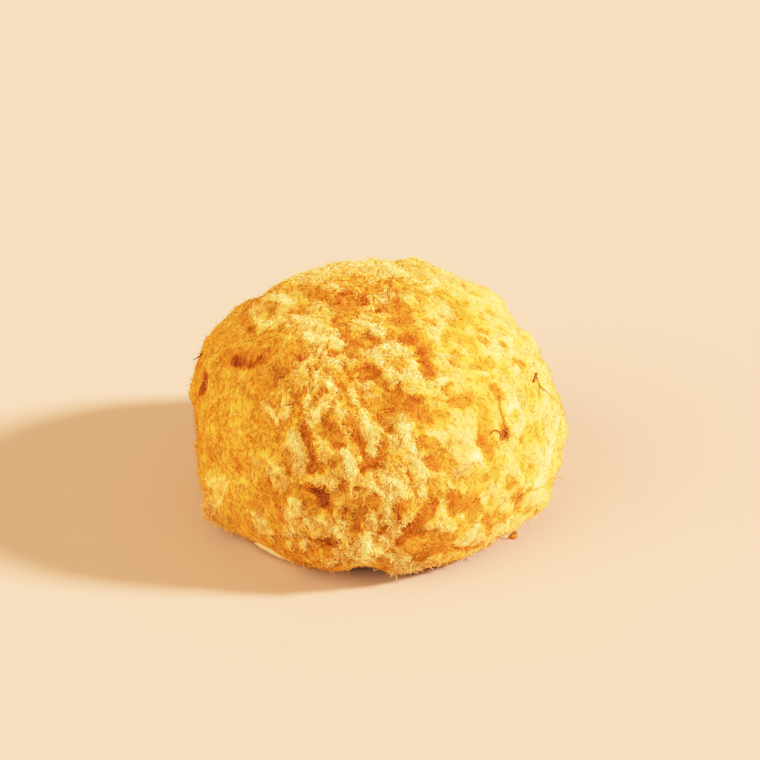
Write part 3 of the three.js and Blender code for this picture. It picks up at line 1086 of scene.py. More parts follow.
def bread_finish():
    """Crust that is brown all round but for the pale side that the foot spreads to, where it is brown
    only near the table, with blotches and a fine crumb bump. The dark brown is partly browned crust
    and partly painted contact shade."""
    finish, graph, shader = new_finish("soft bread", roughness=0.8, specular=0.25)
    place = object_place(graph)
    split = graph.nodes.new("ShaderNodeSeparateXYZ")
    graph.links.new(place, split.inputs["Vector"])
    # Darker towards the table: browned crust and painted contact shade.
    height = math_node(graph, "DIVIDE", split.outputs["Z"], BROWN_AND_SHADE_HEIGHT)
    height = math_node(graph, "MINIMUM", height, 1)
    mottle = noise_node(graph, place, BLOTCH.size, BLOTCH.detail)
    blotched = math_node(graph, "ADD", height, scaled_about(graph, mottle, BLOTCH.middle, BLOTCH.share))
    towards = graph.nodes.new("ShaderNodeVectorMath")
    towards.operation = "DOT_PRODUCT"
    wide_foot = FOOT + FOOT_SPREAD.by
    towards.inputs[1].default_value = swing(1 / wide_foot, 0, math.radians(FOOT_SPREAD.azimuth))
    graph.links.new(place, towards.inputs[0])
    pale = graph.nodes.new("ShaderNodeMapRange")
    pale.inputs["From Min"].default_value, pale.inputs["From Max"].default_value = PALE_SIDE
    graph.links.new(towards.outputs["Value"], pale.inputs["Value"])
    paleness = math_node(graph, "MULTIPLY", blotched, pale.outputs["Result"])
    graph.links.new(ramp_node(graph, BREAD_COLOURS, paleness), shader.inputs["Base Color"])
    bump_node(graph, shader, noise_node(graph, place, CRUMB.size), CRUMB.depth, CRUMB.strength)
    return finish


bread_points = bread_surface()
bread = mesh_piece(
    "bread_bun", bread_points.reshape(-1, 3), ring_faces(len(bread_points), BREAD_AROUND), bread_finish()
)
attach(bread, "root")
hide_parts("bread")

# %% [markdown]
# ## The felted coat
# Under the loose fibres the floss is matted like felt. The mat is the coat's form with the tufts,
# the marked wisps and hollows, and a matted relief of ridged noise: folding noise at its middle
# makes it meet in creases, as fibres pressed together do. It turns in at the edge and runs back up
# beside the bread, so that it is a closed shell.

# %% Matting
BENDS = SimpleNamespace(size=2.5 * MM, reach=0.8 * MM)
RIDGES = SimpleNamespace(size=1.5 * MM, rise=0.22 * MM)
GRAIN = SimpleNamespace(size=0.8 * MM, rise=0.20 * MM)
ROLLS = SimpleNamespace(size=2.4 * MM, rise=0.24 * MM)
CALM_ROLLS = 1.3  # the rolls' share where the floss lies calm


def matted(points):
    """Height of the matting: crumbly rolls, and where the floss stands up also ridges a fibre bundle
    wide and fine grain."""
    loose = loose_at(points)
    bent = stirred(points, BENDS.size, BENDS.reach, SEED.bends)
    ridges = RIDGES.rise * (1 - 2 * np.abs(noise(bent, RIDGES.size, SEED.ridges)))
    grain = GRAIN.rise * noise(bent, GRAIN.size, SEED.grain)
    rolls = ROLLS.rise * between((CALM_ROLLS, 1), loose) * noise(points, ROLLS.size, SEED.rolls)
    return rolls + loose * (ridges + grain)


def mottled(points, mottle):
    """A factor that changes from place to place: a mean, and soft noise about it."""
    return mottle.mean + mottle.share * noise(points, mottle.size, mottle.seed)


# %% Mat grid
MAT_AROUND = 520
MAT_ROWS = 174

column_turn = np.arange(MAT_AROUND) / MAT_AROUND * TURN
row_share = np.linspace(0, 1, MAT_ROWS)
rim_arc = arc_of(skirt_u(rim_height(column_turn)))
mat_turn = np.broadcast_to(column_turn, (MAT_ROWS, MAT_AROUND))
mat_u = u_at_arc(row_share[:, None] * rim_arc[None, :])
mat_bare, mat_out = on_bun(coat_form, mat_turn, mat_u)
mat_loose = loose_at(mat_bare)
print("mat of", MAT_ROWS, "rings of", MAT_AROUND, "points")

# %% Marks on the mat
RAGS = [(1.6, 0.7, 21), (0.7, 0.35, 24)]  # size and reach in mm, seed
CORE = 0.68  # of a wisp's radius, where it is pale
HALO = 2.2  # of a wisp's radius, where fluff stands round it
WISP_MOTTLE = SimpleNamespace(mean=0.8, share=0.4, size=1.4 * MM, seed=7)
TOAST_MOTTLE = SimpleNamespace(mean=0.95, share=0.3, size=1.0 * MM, seed=12)
FLECK_SIZE = 2.8 * MM
FLECK_EDGE = (0.2, 0.7)
FLECK_SHARE = 0.35

mat_ragged = mat_bare
for rag_size, rag_reach, rag_seed in RAGS:
    mat_ragged = stirred(mat_ragged, rag_size * MM, rag_reach * MM, rag_seed)
fleck_noise = noise(mat_bare, FLECK_SIZE, SEED.flecks)
flecks = FLECK_SHARE * smooth_step(fleck_noise, *FLECK_EDGE) * (1 - mat_loose)
wisp_middles, wisp_radii, wisp_weights = pale_marks
wisp_cores = cover(mat_ragged, wisp_middles, CORE * wisp_radii, wisp_weights)
mat_seen = SimpleNamespace(
    pale=wisp_cores * mottled(mat_bare, WISP_MOTTLE),
    halo=cover(mat_ragged, wisp_middles, HALO * wisp_radii, wisp_weights),
    hollow=np.maximum(cover(mat_ragged, *hollow_marks), flecks),
    toast=cover(mat_ragged, *toast_marks) * mottled(mat_ragged, TOAST_MOTTLE),
    cream=cover(mat_ragged, *cream_marks),
    fuzzy=cover(mat_ragged, *fuzzy_marks),
)
mat_fluff = fluff_at(mat_ragged, mat_out, mat_seen)
print("mean share of fluff", mat_fluff.mean().round(2))

# %% Mat shell
LINING_ROWS = 6
LINING_GAP = 0.4 * MM
LINING_LOWEST = 1.9  # u of the section
HOLLOW_RELIEF = 0.45  # the matting's share where there is no fluff
FLUFF_RISE = 0.45 * MM
CALM_FLUFF = 0.9  # the share of that rise where the floss lies calm
WISP_RISE = 0.15 * MM
CREAM_RISE = 0.4 * MM
FLAT_RIM_SHARE = 0.08

mat_relief = matted(mat_bare) * between((HOLLOW_RELIEF, 1), mat_fluff)
mat_tone = tone_at(mat_ragged, mat_fluff, mat_relief, mat_seen)
mat_rise = rise_of(mat_bare) + mat_relief
mat_rise += FLUFF_RISE * between((CALM_FLUFF, 1), mat_loose) * (mat_fluff - mat_fluff.mean())
mat_rise += WISP_RISE * mat_seen.pale + CREAM_RISE * mat_seen.cream
rim_fade = np.minimum(1, (1 - row_share) / FLAT_RIM_SHARE)[:, None]
mat_points = mat_bare + (mat_rise * rim_fade)[..., None] * mat_out

lining_share = np.linspace(1, 0, LINING_ROWS)[:, None]
lining_u = lining_share * np.minimum(mat_u[-1], LINING_LOWEST)[None, :]
lining_turn = np.broadcast_to(column_turn, lining_u.shape)
lining_bare, lining_out = on_bun(bread_form(lining_turn), lining_turn, lining_u)
mat_shell = np.concatenate([mat_points, lining_bare + LINING_GAP * lining_out])
print("mat relief from", (mat_rise.min() / MM).round(2), "to", (mat_rise.max() / MM).round(2), "mm")

# %% Mat finish
FLOSS_ROUGHNESS = 0.95
FLOSS_SPECULAR = 0.05
FELT = SimpleNamespace(size=0.45 * MM, detail=3.0, middle=0.5, stir=0.26, shift=-0.06)
FELT_BUMP = SimpleNamespace(depth=0.25 * MM, strength=0.5)
# Painted shade: the mat is painted a little darker where fluff stands over it, as shade under the
# fibres.
PAINTED_SHADE_UNDER_FLUFF = 0.03  # how much deeper in tone the mat is where fluff hides it


def mat_finish():
    """Colour by tone, stirred by grain as fine as a fibre, with a fibre-deep bump."""
    finish, graph, shader = new_finish("matted floss", FLOSS_ROUGHNESS, FLOSS_SPECULAR)
    place = object_place(graph)
    tone = graph.nodes.new("ShaderNodeAttribute")
    tone.attribute_name = "tone"
    grain = noise_node(graph, place, FELT.size, FELT.detail)
    stirred_tone = math_node(
        graph, "ADD", tone.outputs["Fac"], scaled_about(graph, grain, FELT.middle, FELT.stir)
    )
    grained = math_node(graph, "ADD", stirred_tone, FELT.shift)
    graph.links.new(ramp_node(graph, FLOSS_TONES, grained), shader.inputs["Base Color"])
    bump_node(graph, shader, grain, FELT_BUMP.depth, FELT_BUMP.strength)
    return finish


# The mat's tone, with painted shade under the fluff.
shaded_felt_tone = mat_tone - PAINTED_SHADE_UNDER_FLUFF * mat_fluff
lining_tone = np.repeat(shaded_felt_tone[-1:], LINING_ROWS, 0)
mat_rows = MAT_ROWS + LINING_ROWS
mat = mesh_piece(
    "floss_mat",
    mat_shell.reshape(-1, 3),
    ring_faces(mat_rows, MAT_AROUND),
    mat_finish(),
    corner_uv=ring_uv(mat_rows, MAT_AROUND),
    tone=np.concatenate([shaded_felt_tone, lining_tone]).ravel(),
)
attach(mat, "root")
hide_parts("floss_coat")

# %% [markdown]
# ## Laying fibres on the mat
# A fibre is a thin tapered tube along a curling path. The path is first drawn flat, at its root, then
# laid on the mat: each of its points is carried to the mat's face beneath it and lifted by its own
# height. So a fibre follows every tuft, as real floss does, and none floats off the coat.

# %% Mat sampling
RIM_SPAN = 3  # rows over which the edge's own direction is taken


def row_normals(points):
    """Outward directions of a grid of rings, across its neighbours' differences."""
    round_axis = np.roll(points, -1, 1) - np.roll(points, 1, 1)
    down = np.gradient(points, axis=0)
    return unit(np.cross(down, round_axis))


mat_normals = row_normals(mat_points)
mat_normals[0] = (0, 0, 1)
rim_down = unit(mat_points[-1] - mat_points[-1 - RIM_SPAN])


def bilinear(grid, row, column):
    """A grid of rings read between its rows and columns."""
    low = np.clip(np.floor(row).astype(int), 0, grid.shape[0] - 2)
    left = np.floor(column).astype(int) % MAT_AROUND
    right = (left + 1) % MAT_AROUND
    up = np.clip(row - low, 0, 1)[..., None]
    side = (column - np.floor(column))[..., None]
    upper = grid[low, left] * (1 - side) + grid[low, right] * side
    lower = grid[low + 1, left] * (1 - side) + grid[low + 1, right] * side
    return upper * (1 - up) + lower * up


def mat_cell(turn, u):
    """Row and column of the mat at a turn and u of the coat, with rows past the last below the edge."""
    row = arc_of(u) / np.interp(turn, column_turn, rim_arc, period=TURN) * (MAT_ROWS - 1)
    return row, turn / TURN * MAT_AROUND


def on_mat(points):
    """The mat's face and its direction under points near the coat. Below the edge the face runs on
    straight down, so that fibres hang there."""
    row, column = mat_cell(*coat_place(points))
    face = bilinear(mat_points, row, column)
    past = np.maximum(row - (MAT_ROWS - 1), 0) * arc_steps[-1] / MAT_ROWS
    face = face + past[..., None] * rim_down[np.floor(column).astype(int) % MAT_AROUND]
    return face, unit(bilinear(mat_normals, row, column))


edge_round = np.linalg.norm(np.roll(mat_points, -1, 1) - mat_points, axis=-1)
edge_down = np.linalg.norm(np.gradient(mat_points, axis=0), axis=-1)
mat_area = edge_round * edge_down
print("mat face", round(mat_area.sum() / MM**2), "square mm")

# %% Tubes
SIDES = 3
LOWEST_FIBRE = 0.12 * MM
UV_SIDE = 0.006
UV_RINGS = (0.05, 0.95)  # share of the length at the first and the last ring


def tube_faces(rings):
    """Triangles of one tube: a cone at its root, bands between its rings and a cone at its tip."""
    band, side = np.mgrid[0 : rings - 1, 0:SIDES]
    here, beside = 1 + band * SIDES + side, 1 + band * SIDES + (side + 1) % SIDES
    first = np.stack([here, here + SIDES, beside + SIDES], -1).reshape(-1, 3)
    second = np.stack([here, beside + SIDES, beside], -1).reshape(-1, 3)
    ring, after = np.arange(SIDES), (np.arange(SIDES) + 1) % SIDES
    last = 1 + (rings - 1) * SIDES
    root = np.stack([np.zeros(SIDES, int), 1 + ring, 1 + after], -1)
    tip = np.stack([np.full(SIDES, last + SIDES), last + after, last + ring], -1)
    return np.concatenate([root, first, second, tip])


def tubes(paths, normals, thickness, taper):
    """Three-sided tubes along paths (fibres, rings, 3): each ring stands across its path, and the
    tube narrows to the tip by the taper. Returns points and triangles of all of them."""
    count, rings, _ = paths.shape
    along = unit(np.gradient(paths, axis=1))
    beside = unit(np.cross(along, normals))
    above = np.cross(beside, along)
    share = np.linspace(0, 1, rings)
    radius = thickness[:, None] / 2 * (1 - taper * share**2)
    angle = np.arange(SIDES) / SIDES * TURN
    offset = np.cos(angle)[:, None] * beside[:, :, None] + np.sin(angle)[:, None] * above[:, :, None]
    skin = paths[:, :, None] + radius[:, :, None, None] * offset
    root = paths[:, 0] - along[:, 0] * radius[:, :1]
    tip = paths[:, -1] + along[:, -1] * 2 * radius[:, -1:]
    points = np.concatenate([root[:, None], skin.reshape(count, -1, 3), tip[:, None]], 1)
    points[..., 2] = np.maximum(points[..., 2], LOWEST_FIBRE)
    faces = tube_faces(rings)[None] + (np.arange(count) * points.shape[1])[:, None, None]
    return points, faces.reshape(-1, 3)


def tube_uv(tones, rings):
    """UV of a tube's points: the fibre's tone along U, a touch apart from side to side, and the
    share of its length along V."""
    side = (np.arange(SIDES) - 1) * UV_SIDE
    u = np.concatenate([[0], np.tile(side, rings), [0]])
    v = np.concatenate([[0], np.repeat(np.linspace(*UV_RINGS, rings), SIDES), [1]])
    grid = np.broadcast_to(v, (len(tones), len(v)))
    return np.stack([np.clip(tones[:, None] + u, 0, 1), grid], -1)


print("a fibre of 6 rings has", len(tube_faces(6)), "triangles")

# %% [markdown]
# ## Fibre finish
# Floss has no pattern along a fibre: only its tone differs from fibre to fibre, and its root is painted
# darker than its tip, as shade deep among the fibres. Both come from the UV map, tone along U and
# length along V.

# %% Fibre finish
# Painted shade: the colour is multiplied darker and warmer at the root, where shade falls among the
# fibres.
PAINTED_ROOT_SHADE = [(0.0, (0.72, 0.57, 0.40)), (0.6, (1.0, 1.0, 1.0))]


def fibre_finish(name, tones):
    """The colours of these tones at the fibre's own tone, with painted shade darkening it towards its
    root.
    """
    finish, graph, shader = new_finish(name, FLOSS_ROUGHNESS, FLOSS_SPECULAR)
    place = graph.nodes.new("ShaderNodeUVMap")
    place.uv_map = "OFBake"
    split = graph.nodes.new("ShaderNodeSeparateXYZ")
    graph.links.new(place.outputs["UV"], split.inputs["Vector"])
    colour = ramp_node(graph, tones, split.outputs["X"])
    shade = ramp_node(graph, PAINTED_ROOT_SHADE, split.outputs["Y"])
    mix = graph.nodes.new("ShaderNodeMix")
    mix.data_type = "RGBA"
    mix.blend_type = "MULTIPLY"
    mix.inputs["Factor"].default_value = 1
    graph.links.new(colour, mix.inputs["A"])
    graph.links.new(shade, mix.inputs["B"])
    graph.links.new(mix.outputs["Result"], shader.inputs["Base Color"])
    return finish


fibre = fibre_finish("floss fibre", FLOSS_TONES)
print("fibre finish with", len(PAINTED_ROOT_SHADE), "shades along its length")

# %% [markdown]
# ## Loose floss
# Six kinds of fibre cover the coat. Amber felt lies in the hollows. Gold fluff stands everywhere but
# there, pale and curled fluff on the patches, and fine fuzz all over. Long fringe is sparse except at
# the fuzzy places. Each kind is one mesh of up to ten thousand tubes. Roots are drawn by chance over
# the mat's face, most where the share of fluff is what the kind likes and few over the bare strip.

# %% Fibre paths
WOBBLE_WAVES = 1.5  # along a fibre
RISE_POWER = 1.5  # above 1, so that more fibres lie low than stand high
LIFT_POWER = 1.4


def roots(count, liking):
    """Rows and columns of roots: cells of the mat by their area and how much the kind likes them."""
    weight = (mat_area * liking).ravel()
    cell = draw.choice(weight.size, count, p=weight / weight.sum())
    row, column = np.unravel_index(cell, mat_area.shape)
    return np.minimum(row + draw.random(count), MAT_ROWS - 1), column + draw.random(count)


def mat_axes(row, column):
    """Directions along the mat at rows and columns: level and downhill."""
    return axes_along(unit(bilinear(mat_normals, row, column)))


def lay_fibres(row, column, heading, kind, stretch=1):
    """Paths and directions of fibres rooted at rows and columns: a flat curl of even bend with a
    wobble, laid on the mat, rising from a sunk root to a raised tip or an arch."""
    count = len(row)
    length = between(kind.length, draw.random(count)) * stretch * MM
    bend = between(kind.bend, draw.random(count)) * draw.choice([-1, 1], count) / MM
    wobble = draw.normal(0, kind.wobble, count)
    phase = draw.random(count) * TURN
    arch = draw.random(count) * kind.arch
    share = np.linspace(0, 1, kind.rings)
    middle = (share[:-1] + share[1:]) / 2
    angle = heading[:, None] + (bend * length)[:, None] * (middle - 0.5)
    angle = angle + wobble[:, None] * np.sin(TURN * WOBBLE_WAVES * middle + phase[:, None])
    step = (length / (kind.rings - 1))[:, None]
    flat = np.stack([np.cos(angle), np.sin(angle)], -1) * step[..., None]
    flat = np.concatenate([np.zeros((count, 1, 2)), np.cumsum(flat, 1)], 1)
    flat -= flat.mean(1, keepdims=True) * kind.centred
    root = bilinear(mat_points, row, column)
    loose = between((kind.stiff, 1), loose_at(root))
    rise = between(kind.rise, draw.random(count) ** RISE_POWER) * loose * MM
    level, down = mat_axes(row, column)
    near = root[:, None] + flat[..., :1] * level[:, None] + flat[..., 1:] * down[:, None]
    face, normals = on_mat(near)
    lift = (1 - arch)[:, None] * share**LIFT_POWER + arch[:, None] * 4 * share * (1 - share)
    return face + (rise[:, None] * lift + kind.sink * MM)[..., None] * normals, normals


def fibre_piece(name, kind, row, column, heading, tones, stretch=1):
    """One mesh of all fibres of a kind, ready on its body."""
    paths, normals = lay_fibres(row, column, heading, kind, stretch)
    thickness = between(kind.thickness, draw.random(len(row))) * MM
    points, faces = tubes(paths, normals, thickness, kind.taper)
    uv = tube_uv(tones, kind.rings).reshape(-1, 2)
    piece = mesh_piece(name, points.reshape(-1, 3), faces, fibre, corner_uv=uv[faces.ravel()])
    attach(piece, "root")


# %% [markdown]
# A kind says how many fibres it has and how many rings each. Their length, thickness, rise and sink
# are in mm, their bend is in radians to the mm, and their wobble and how far they stray from the way
# the floss leans are in radians. Arch is how far the most arched ones come down again at the tip, and
# centred is 1 if a fibre is held at its middle and 0 if at its end. Likes is the span of fluff that it
# grows on, and gaps how far it leaves the gaps between bunches bare. Where the floss lies calm, stiff
# is what is left of its rise and least of its number. Fringe is how many times more grow at the fuzzy
# places.

# %% Kinds of fibre
USUAL = dict(sink=-0.1, taper=0.6, tone_spread=0.06, stiff=0.0, least=0.35, fringe=0)


def fibre_kind(**own):
    """A kind of fibre: the usual values, with its own over them."""
    return SimpleNamespace(**{**USUAL, **own})


KINDS = {
    "amber_felt": fibre_kind(
        count=8000, rings=3, length=(1.2, 2.6), thickness=(0.16, 0.24), bend=(0.1, 0.9), wobble=0.6,
        rise=(0.05, 0.6), arch=0.9, centred=1, tone_shift=0.0, likes=(-0.4, 0.6), gaps=0.3, stray=1.0,
        sink=-0.02, taper=0.4,
    ),
    "gold_fluff": fibre_kind(
        count=6000, rings=5, length=(1.6, 3.4), thickness=(0.18, 0.28), bend=(0.6, 2.0), wobble=0.8,
        rise=(0.15, 0.9), arch=0.8, centred=0.5, tone_shift=0.02, likes=(0.3, 1.2), gaps=0.5, stray=0.7,
    ),
    "pale_fluff": fibre_kind(
        count=6400, rings=5, length=(1.2, 2.8), thickness=(0.20, 0.32), bend=(0.7, 2.2), wobble=0.9,
        rise=(0.2, 0.9), arch=0.8, centred=0.6, tone_shift=0.05, likes=(0.9, 1.2), gaps=0.6, stray=0.7,
    ),
    "curled_fluff": fibre_kind(
        count=5400, rings=6, length=(1.1, 2.4), thickness=(0.19, 0.30), bend=(1.2, 3.0), wobble=0.5,
        rise=(0.15, 0.8), arch=0.9, centred=1, tone_shift=0.04, likes=(0.8, 1.2), gaps=0.6, stray=3.0,
        sink=-0.05, taper=0.5,
    ),
    "fine_fuzz": fibre_kind(
        count=10000, rings=3, length=(0.9, 2.2), thickness=(0.12, 0.18), bend=(0.2, 1.2), wobble=0.5,
        rise=(0.5, 1.9), arch=0.2, centred=0, tone_shift=0.06, likes=(-0.1, 1.2), gaps=0.4, stray=3.0,
        tone_spread=0.07, stiff=0.75, least=1.2,
    ),
    "long_fringe": fibre_kind(
        count=500, rings=4, length=(1.3, 3.0), thickness=(0.15, 0.24), bend=(0.2, 1.0), wobble=0.4,
        rise=(0.4, 2.2), arch=0.1, centred=0, tone_shift=0.3, likes=(-0.1, 1.2), gaps=0.3, stray=1.0,
        stiff=1.0, least=1.0, fringe=400,
    ),
}
print(len(KINDS), "kinds,", sum(kind.count for kind in KINDS.values()), "fibres")

# %% Loose floss
LIKING_FADE = 0.3
LEAST_LIKING = 0.02
GAP_SIZE = 1.2 * MM
GAP_EDGE = 0.35
STRIP_ROWS = (0.94, 0.98)  # share of the way down to the edge, where fibres thin out over bare bread
STRIP_LIFTS = [(RIM_FEATURES[1], 1.0), (RIM_FEATURES[2], 0.6)]  # lifts of the edge there, and how bare
STRIP_POWER = 0.5  # below 1, so that the strip stays bare out to its ends
STRIP_CLEAR = 0.95


def liking_of(fluff, likes):
    """How much a kind likes a share of fluff: 1 inside its span, fading outside it."""
    low, high = likes
    return np.clip(1 + np.minimum(fluff - low, high - fluff) / LIKING_FADE, LEAST_LIKING, 1)


bunching = smooth_step(noise(mat_bare, GAP_SIZE, SEED.bunches), -GAP_EDGE, GAP_EDGE)
bareness = np.zeros(MAT_AROUND)
for (lift_azimuth, lift_half_angle, _), bare_share in STRIP_LIFTS:
    lift_share = hump(degrees_from(lift_azimuth, column_turn) / lift_half_angle)
    bareness = np.maximum(bareness, bare_share * lift_share)
over_strip = STRIP_CLEAR * bareness**STRIP_POWER
kept_clear = over_strip[None, :] * smooth_step(row_share, *STRIP_ROWS)[:, None]
for kind_name, kind in KINDS.items():
    liking = liking_of(mat_fluff, kind.likes) * (1 - kind.gaps * (1 - bunching)) * (1 - kept_clear)
    liking *= between((kind.least, 1), mat_loose) * (1 + kind.fringe * mat_seen.fuzzy)
    kind_row, kind_column = roots(kind.count, liking)
    place = bilinear(mat_bare, kind_row, kind_column)
    tone = bilinear(mat_tone[..., None], kind_row, kind_column)[:, 0]
    tone += (kind.tone_shift + draw.normal(0, kind.tone_spread, kind.count)) * loose_at(place)
    heading = flow_at(place) + draw.normal(0, kind.stray, kind.count)
    fibre_piece(kind_name, kind, kind_row, kind_column, heading, np.clip(tone, *TONE_LIMITS))

# %% [markdown]
# ## Shreds
# Where fibres stay side by side they form a shred: a pale flat bundle several millimetres long. A
# bundle is many fibres that share a heading, spread across its width, most in the middle. Some are
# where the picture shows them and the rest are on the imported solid's own spots.

# %% Shred places
SHRED_COUNT = 40
SHRED_LENGTH = (6, 11)
SHRED_WIDTH = (1.9, 3.2)
SHRED_LEAN = (0.15, 0.85)
SHRED_PALER = 0.04
SEEN_SHREDS = [  # pixel, heading in degrees from right to down, length and width in mm, tone
    (349, 463, 75, 5.0, 2.2, 0.96),
    (366, 544, 95, 5.5, 2.0, 0.98),
    (294, 438, 95, 4.5, 1.3, 0.94),
    (300, 452, 50, 3.5, 1.2, 0.92),
    (372, 444, 85, 5.5, 1.1, 0.88),
    (404, 432, 75, 5.5, 1.6, 0.92),
    (415, 460, 65, 5.5, 1.5, 0.88),
    (394, 482, 20, 5.0, 1.8, 0.90),
    (388, 508, 90, 4.5, 1.4, 0.88),
    (470, 537, 120, 4.5, 1.8, 0.86),
    (406, 567, 70, 5.0, 2.2, 0.82),
    (214, 503, 100, 7.0, 3.0, 0.68),
    (220, 513, 115, 6.0, 3.2, 0.70),
    (212, 514, 120, 5.0, 2.6, 0.70),
]


def root_cell(turn, u):
    """Row and column of the mat for a root at a turn and u of the coat, the lowest one at its edge."""
    row, column = mat_cell(turn, u)
    return np.minimum(row, MAT_ROWS - 1), column % MAT_AROUND


shred_number = np.arange(SHRED_COUNT)
chance_turn, chance_u = spiral(shred_number + 0.5, SHRED_COUNT + 1)
chance_heading = between(SHRED_LEAN, chance(shred_number, SALT.shred_lean)) * math.pi
chance_length = between(SHRED_LENGTH, chance(shred_number, SALT.shred_length))
chance_width = between(SHRED_WIDTH, chance(shred_number, SALT.shred_width))
seen_shreds = np.array(SEEN_SHREDS)
seen_turn, seen_u = on_coat_at(seen_shreds[:, :2])
seen_heading, seen_length, seen_width, seen_tone = seen_shreds[:, 2:].T
shred_row, shred_column = root_cell(
    np.concatenate([chance_turn % TURN, seen_turn]), np.concatenate([chance_u, seen_u])
)
shred_tone = bilinear(mat_tone[..., None], shred_row, shred_column)[:, 0] + SHRED_PALER
shred_tone[SHRED_COUNT:] = seen_tone
print(len(shred_row), "shreds,", len(SEEN_SHREDS), "of them where the picture shows them")

# %% Shreds
SHRED_FIBRES = 56
SHRED = SimpleNamespace(  # length as a share of the shred's
    rings=4, length=(0.4, 1.0), thickness=(0.14, 0.22), bend=(0.05, 0.40), wobble=0.35, rise=(0.1, 0.5),
    arch=1.0, sink=-0.05, centred=1, taper=0.4, stiff=0.0,
)
SCATTER = SimpleNamespace(  # of its fibres, as shares of its width and length, in radians and in tone
    across=0.25, along=0.10, heading=0.30, tone=0.05
)
fibre_of = np.repeat(np.arange(len(shred_row)), SHRED_FIBRES)


def scatter(spread):
    """A chance number about 0 for each fibre of every shred."""
    return draw.normal(0, spread, len(fibre_of))


def spread_rows(row, column, heading, across, along):
    """Rows and columns moved on the mat by lengths across and along a heading."""
    root = bilinear(mat_points, row, column)
    level, down = mat_axes(row, column)
    right = along * np.cos(heading) - across * np.sin(heading)
    below = along * np.sin(heading) + across * np.cos(heading)
    return root_cell(*coat_place(root + right[:, None] * level + below[:, None] * down))


fibre_heading = np.concatenate([chance_heading, np.radians(seen_heading)])[fibre_of]
fibre_stretch = np.concatenate([chance_length, seen_length])[fibre_of]
across = scatter(SCATTER.across) * np.concatenate([chance_width, seen_width])[fibre_of] * MM
along = scatter(SCATTER.along) * fibre_stretch * MM
fibre_row, fibre_column = spread_rows(
    shred_row[fibre_of], shred_column[fibre_of], fibre_heading, across, along
)
fibre_piece(
    "pale_shreds",
    SHRED,
    fibre_row,
    fibre_column,
    fibre_heading + scatter(SCATTER.heading),
    np.clip(shred_tone[fibre_of] + scatter(SCATTER.tone), *TONE_LIMITS),
    stretch=fibre_stretch,
)

# %% [markdown]
# ## Toasted threads
# A few threads baked dark lie on the coat, and some stick out at its edges: hairs at the left and the
# right, and a curl of toasted floss low on the right. Each is a thicker fibre whose path is drawn
# through a few places seen in the picture. One that sticks out is as far from the camera as the place
# on the coat that holds it.

# %% Thread places
LAID_THREADS = [  # pixels across and down along it, thickness in mm, tone
    ([(500, 396), (499, 404), (500, 411), (503, 417), (505, 424), (508, 432), (508, 438)], 0.28, 0.3),
    ([(490, 434), (494, 430), (498, 431), (500, 436), (499, 440)], 0.40, 0.3),
    ([(501, 440), (505, 437), (507, 433), (504, 429)], 0.45, 0.5),
    ([(393, 278), (391, 284), (390, 290), (388, 300), (386, 310)], 0.45, 0.3),
    ([(531, 382), (533, 377), (535, 373), (534, 379), (532, 383)], 0.45, 0.1),
    ([(535, 378), (537, 384), (540, 389), (544, 395)], 0.40, 0.0),
    ([(538, 387), (538, 392), (540, 397)], 0.30, 0.15),
    ([(531, 363), (533, 366), (535, 368)], 0.25, 0.25),
    ([(223, 366), (219, 375), (215, 383)], 0.25, 0.3),
    ([(306, 484), (312, 490), (319, 494)], 0.28, 0.3),
    ([(310, 509), (318, 506), (324, 502)], 0.25, 0.3),
    ([(323, 489), (325, 497), (324, 505)], 0.30, 0.25),
    ([(519, 496), (527, 491), (537, 487), (546, 480)], 0.50, 1.0),
]
FREE_THREADS = [  # likewise, and the pixel of the place that holds it
    ([(207, 350), (203, 353), (198, 357), (193, 360)], 0.50, 0.0, (208, 350)),
    ([(543, 482), (550, 479), (558, 477), (565, 479)], 0.35, 1.0, (546, 480)),
    ([(257, 541), (251, 541), (245, 540)], 0.60, 0.4, (252, 538)),
    ([(493, 533), (498, 537), (504, 539), (512, 538)], 0.35, 0.4, (497, 536)),
    ([(511, 537), (515, 536), (516, 533), (514, 532), (513, 534)], 1.7, 0.6, (497, 536)),
]
THREADS = [(*thread, None) for thread in LAID_THREADS] + FREE_THREADS
print(len(LAID_THREADS), "threads on the coat,", len(FREE_THREADS), "stick out of it")

# %% Threads
THREAD_TONES = [(0.0, (0.13, 0.065, 0.012)), (0.5, (0.40, 0.17, 0.035)), (1.0, (0.72, 0.42, 0.05))]
THREAD_RINGS = 12
THREAD_TAPER = 0.5
THREAD_LIFT = (0.15 * MM, 0.9 * MM)  # where the floss lies calm and where it stands up


def thread_places(pixels, holder):
    """Points of a thread through pixels: on the coat, or for one that sticks out as deep, seen from the
    camera, as the place that holds it."""
    if holder is None:
        return on_bun(coat_form, *on_coat_at(pixels))[0]
    held = on_bun(coat_form, *on_coat_at(holder))[0][0]
    return eye + sight_through(pixels) * ((held - eye) @ ahead)


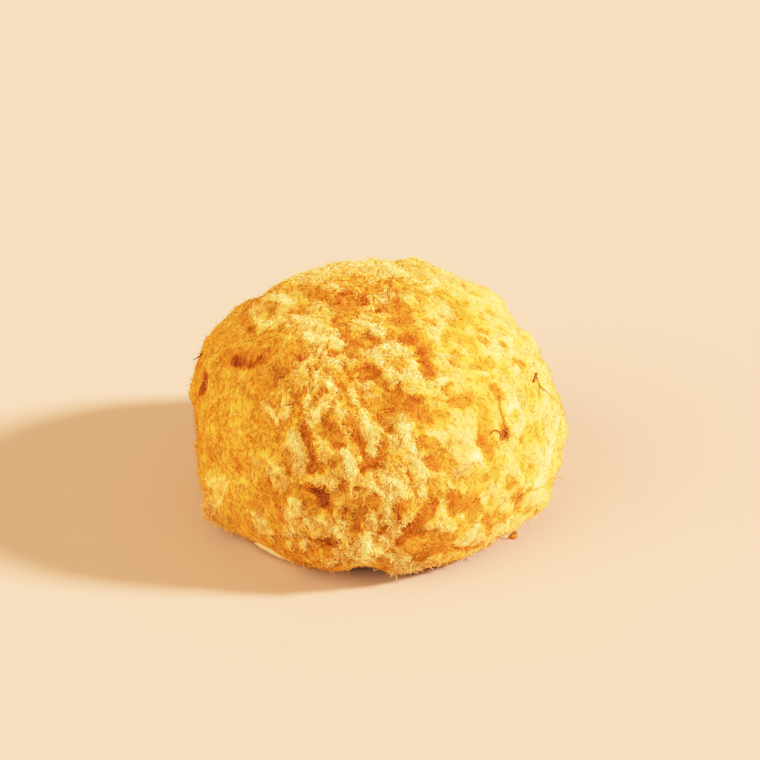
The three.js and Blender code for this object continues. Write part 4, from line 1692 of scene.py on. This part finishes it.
def thread_path(pixels, holder):
    """A smooth path through pixels and its normals: cubic between them, by length, and laid on the mat
    unless it sticks out."""
    places = thread_places(pixels, holder)
    steps = lengths_along(places)
    spots = np.linspace(0, steps[-1], THREAD_RINGS)
    bends = np.gradient(places, steps, axis=0)
    cell = np.clip(np.searchsorted(steps, spots) - 1, 0, len(steps) - 2)
    gap = (steps[cell + 1] - steps[cell])[:, None]
    share = ((spots - steps[cell]) / gap[:, 0])[:, None]
    s2, s3 = share**2, share**3
    smooth = (2 * s3 - 3 * s2 + 1) * places[cell] + (3 * s2 - 2 * s3) * places[cell + 1]
    smooth += gap * ((s3 - 2 * s2 + share) * bends[cell] + (s3 - s2) * bends[cell + 1])
    face, normals = on_mat(smooth)
    lift = between(THREAD_LIFT, loose_at(face))[:, None]
    return (face + lift * normals if holder is None else smooth), normals


thread_pixels, thread_thickness, thread_tones, thread_holders = zip(*THREADS)
thread_paths, thread_normals = zip(*map(thread_path, thread_pixels, thread_holders))
thread_points, thread_faces = tubes(
    np.stack(thread_paths), np.stack(thread_normals), np.array(thread_thickness) * MM, THREAD_TAPER
)
thread_uv = tube_uv(np.array(thread_tones), THREAD_RINGS).reshape(-1, 2)
threads = mesh_piece(
    "toasted_threads",
    thread_points.reshape(-1, 3),
    thread_faces,
    fibre_finish("toasted thread", THREAD_TONES),
    corner_uv=thread_uv[thread_faces.ravel()],
)
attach(threads, "root")

# %% [markdown]
# ## Floor
# The bun stands on plain pale paper. One wide flat square is enough, marked as stage because it isn't
# part of the bun.

# %% Floor
FLOOR_SIDE = 6.0
FLOOR_COLOUR = (0.56, 0.434, 0.314)
MOTTLE_SHADE = 0.985
MOTTLE_SIZE = 30 * MM


def floor_finish():
    """Matt peach paper with a trace of mottling."""
    finish, graph, shader = new_finish("pale paper", roughness=0.9, specular=0.1)
    shade = tuple(MOTTLE_SHADE * channel for channel in FLOOR_COLOUR)
    mottle = noise_node(graph, object_place(graph), MOTTLE_SIZE)
    colour = ramp_node(graph, [(0, shade), (1, FLOOR_COLOUR)], mottle)
    graph.links.new(colour, shader.inputs["Base Color"])
    return finish


square = np.array([(-1, -1, 0), (1, -1, 0), (1, 1, 0), (-1, 1, 0)])
floor = mesh_piece("floor", FLOOR_SIDE / 2 * square, np.array([[0, 1, 2, 3]]), floor_finish())
floor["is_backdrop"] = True

# %% Sizes and finish
visual_low, visual_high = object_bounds()
boxes = {"cad": [list(cad_low), list(cad_high)], "visual": [list(visual_low), list(visual_high)]}
for box_name, (low, high) in boxes.items():
    print(box_name, [[round(value / MM, 1) for value in corner] for corner in (low, high)])
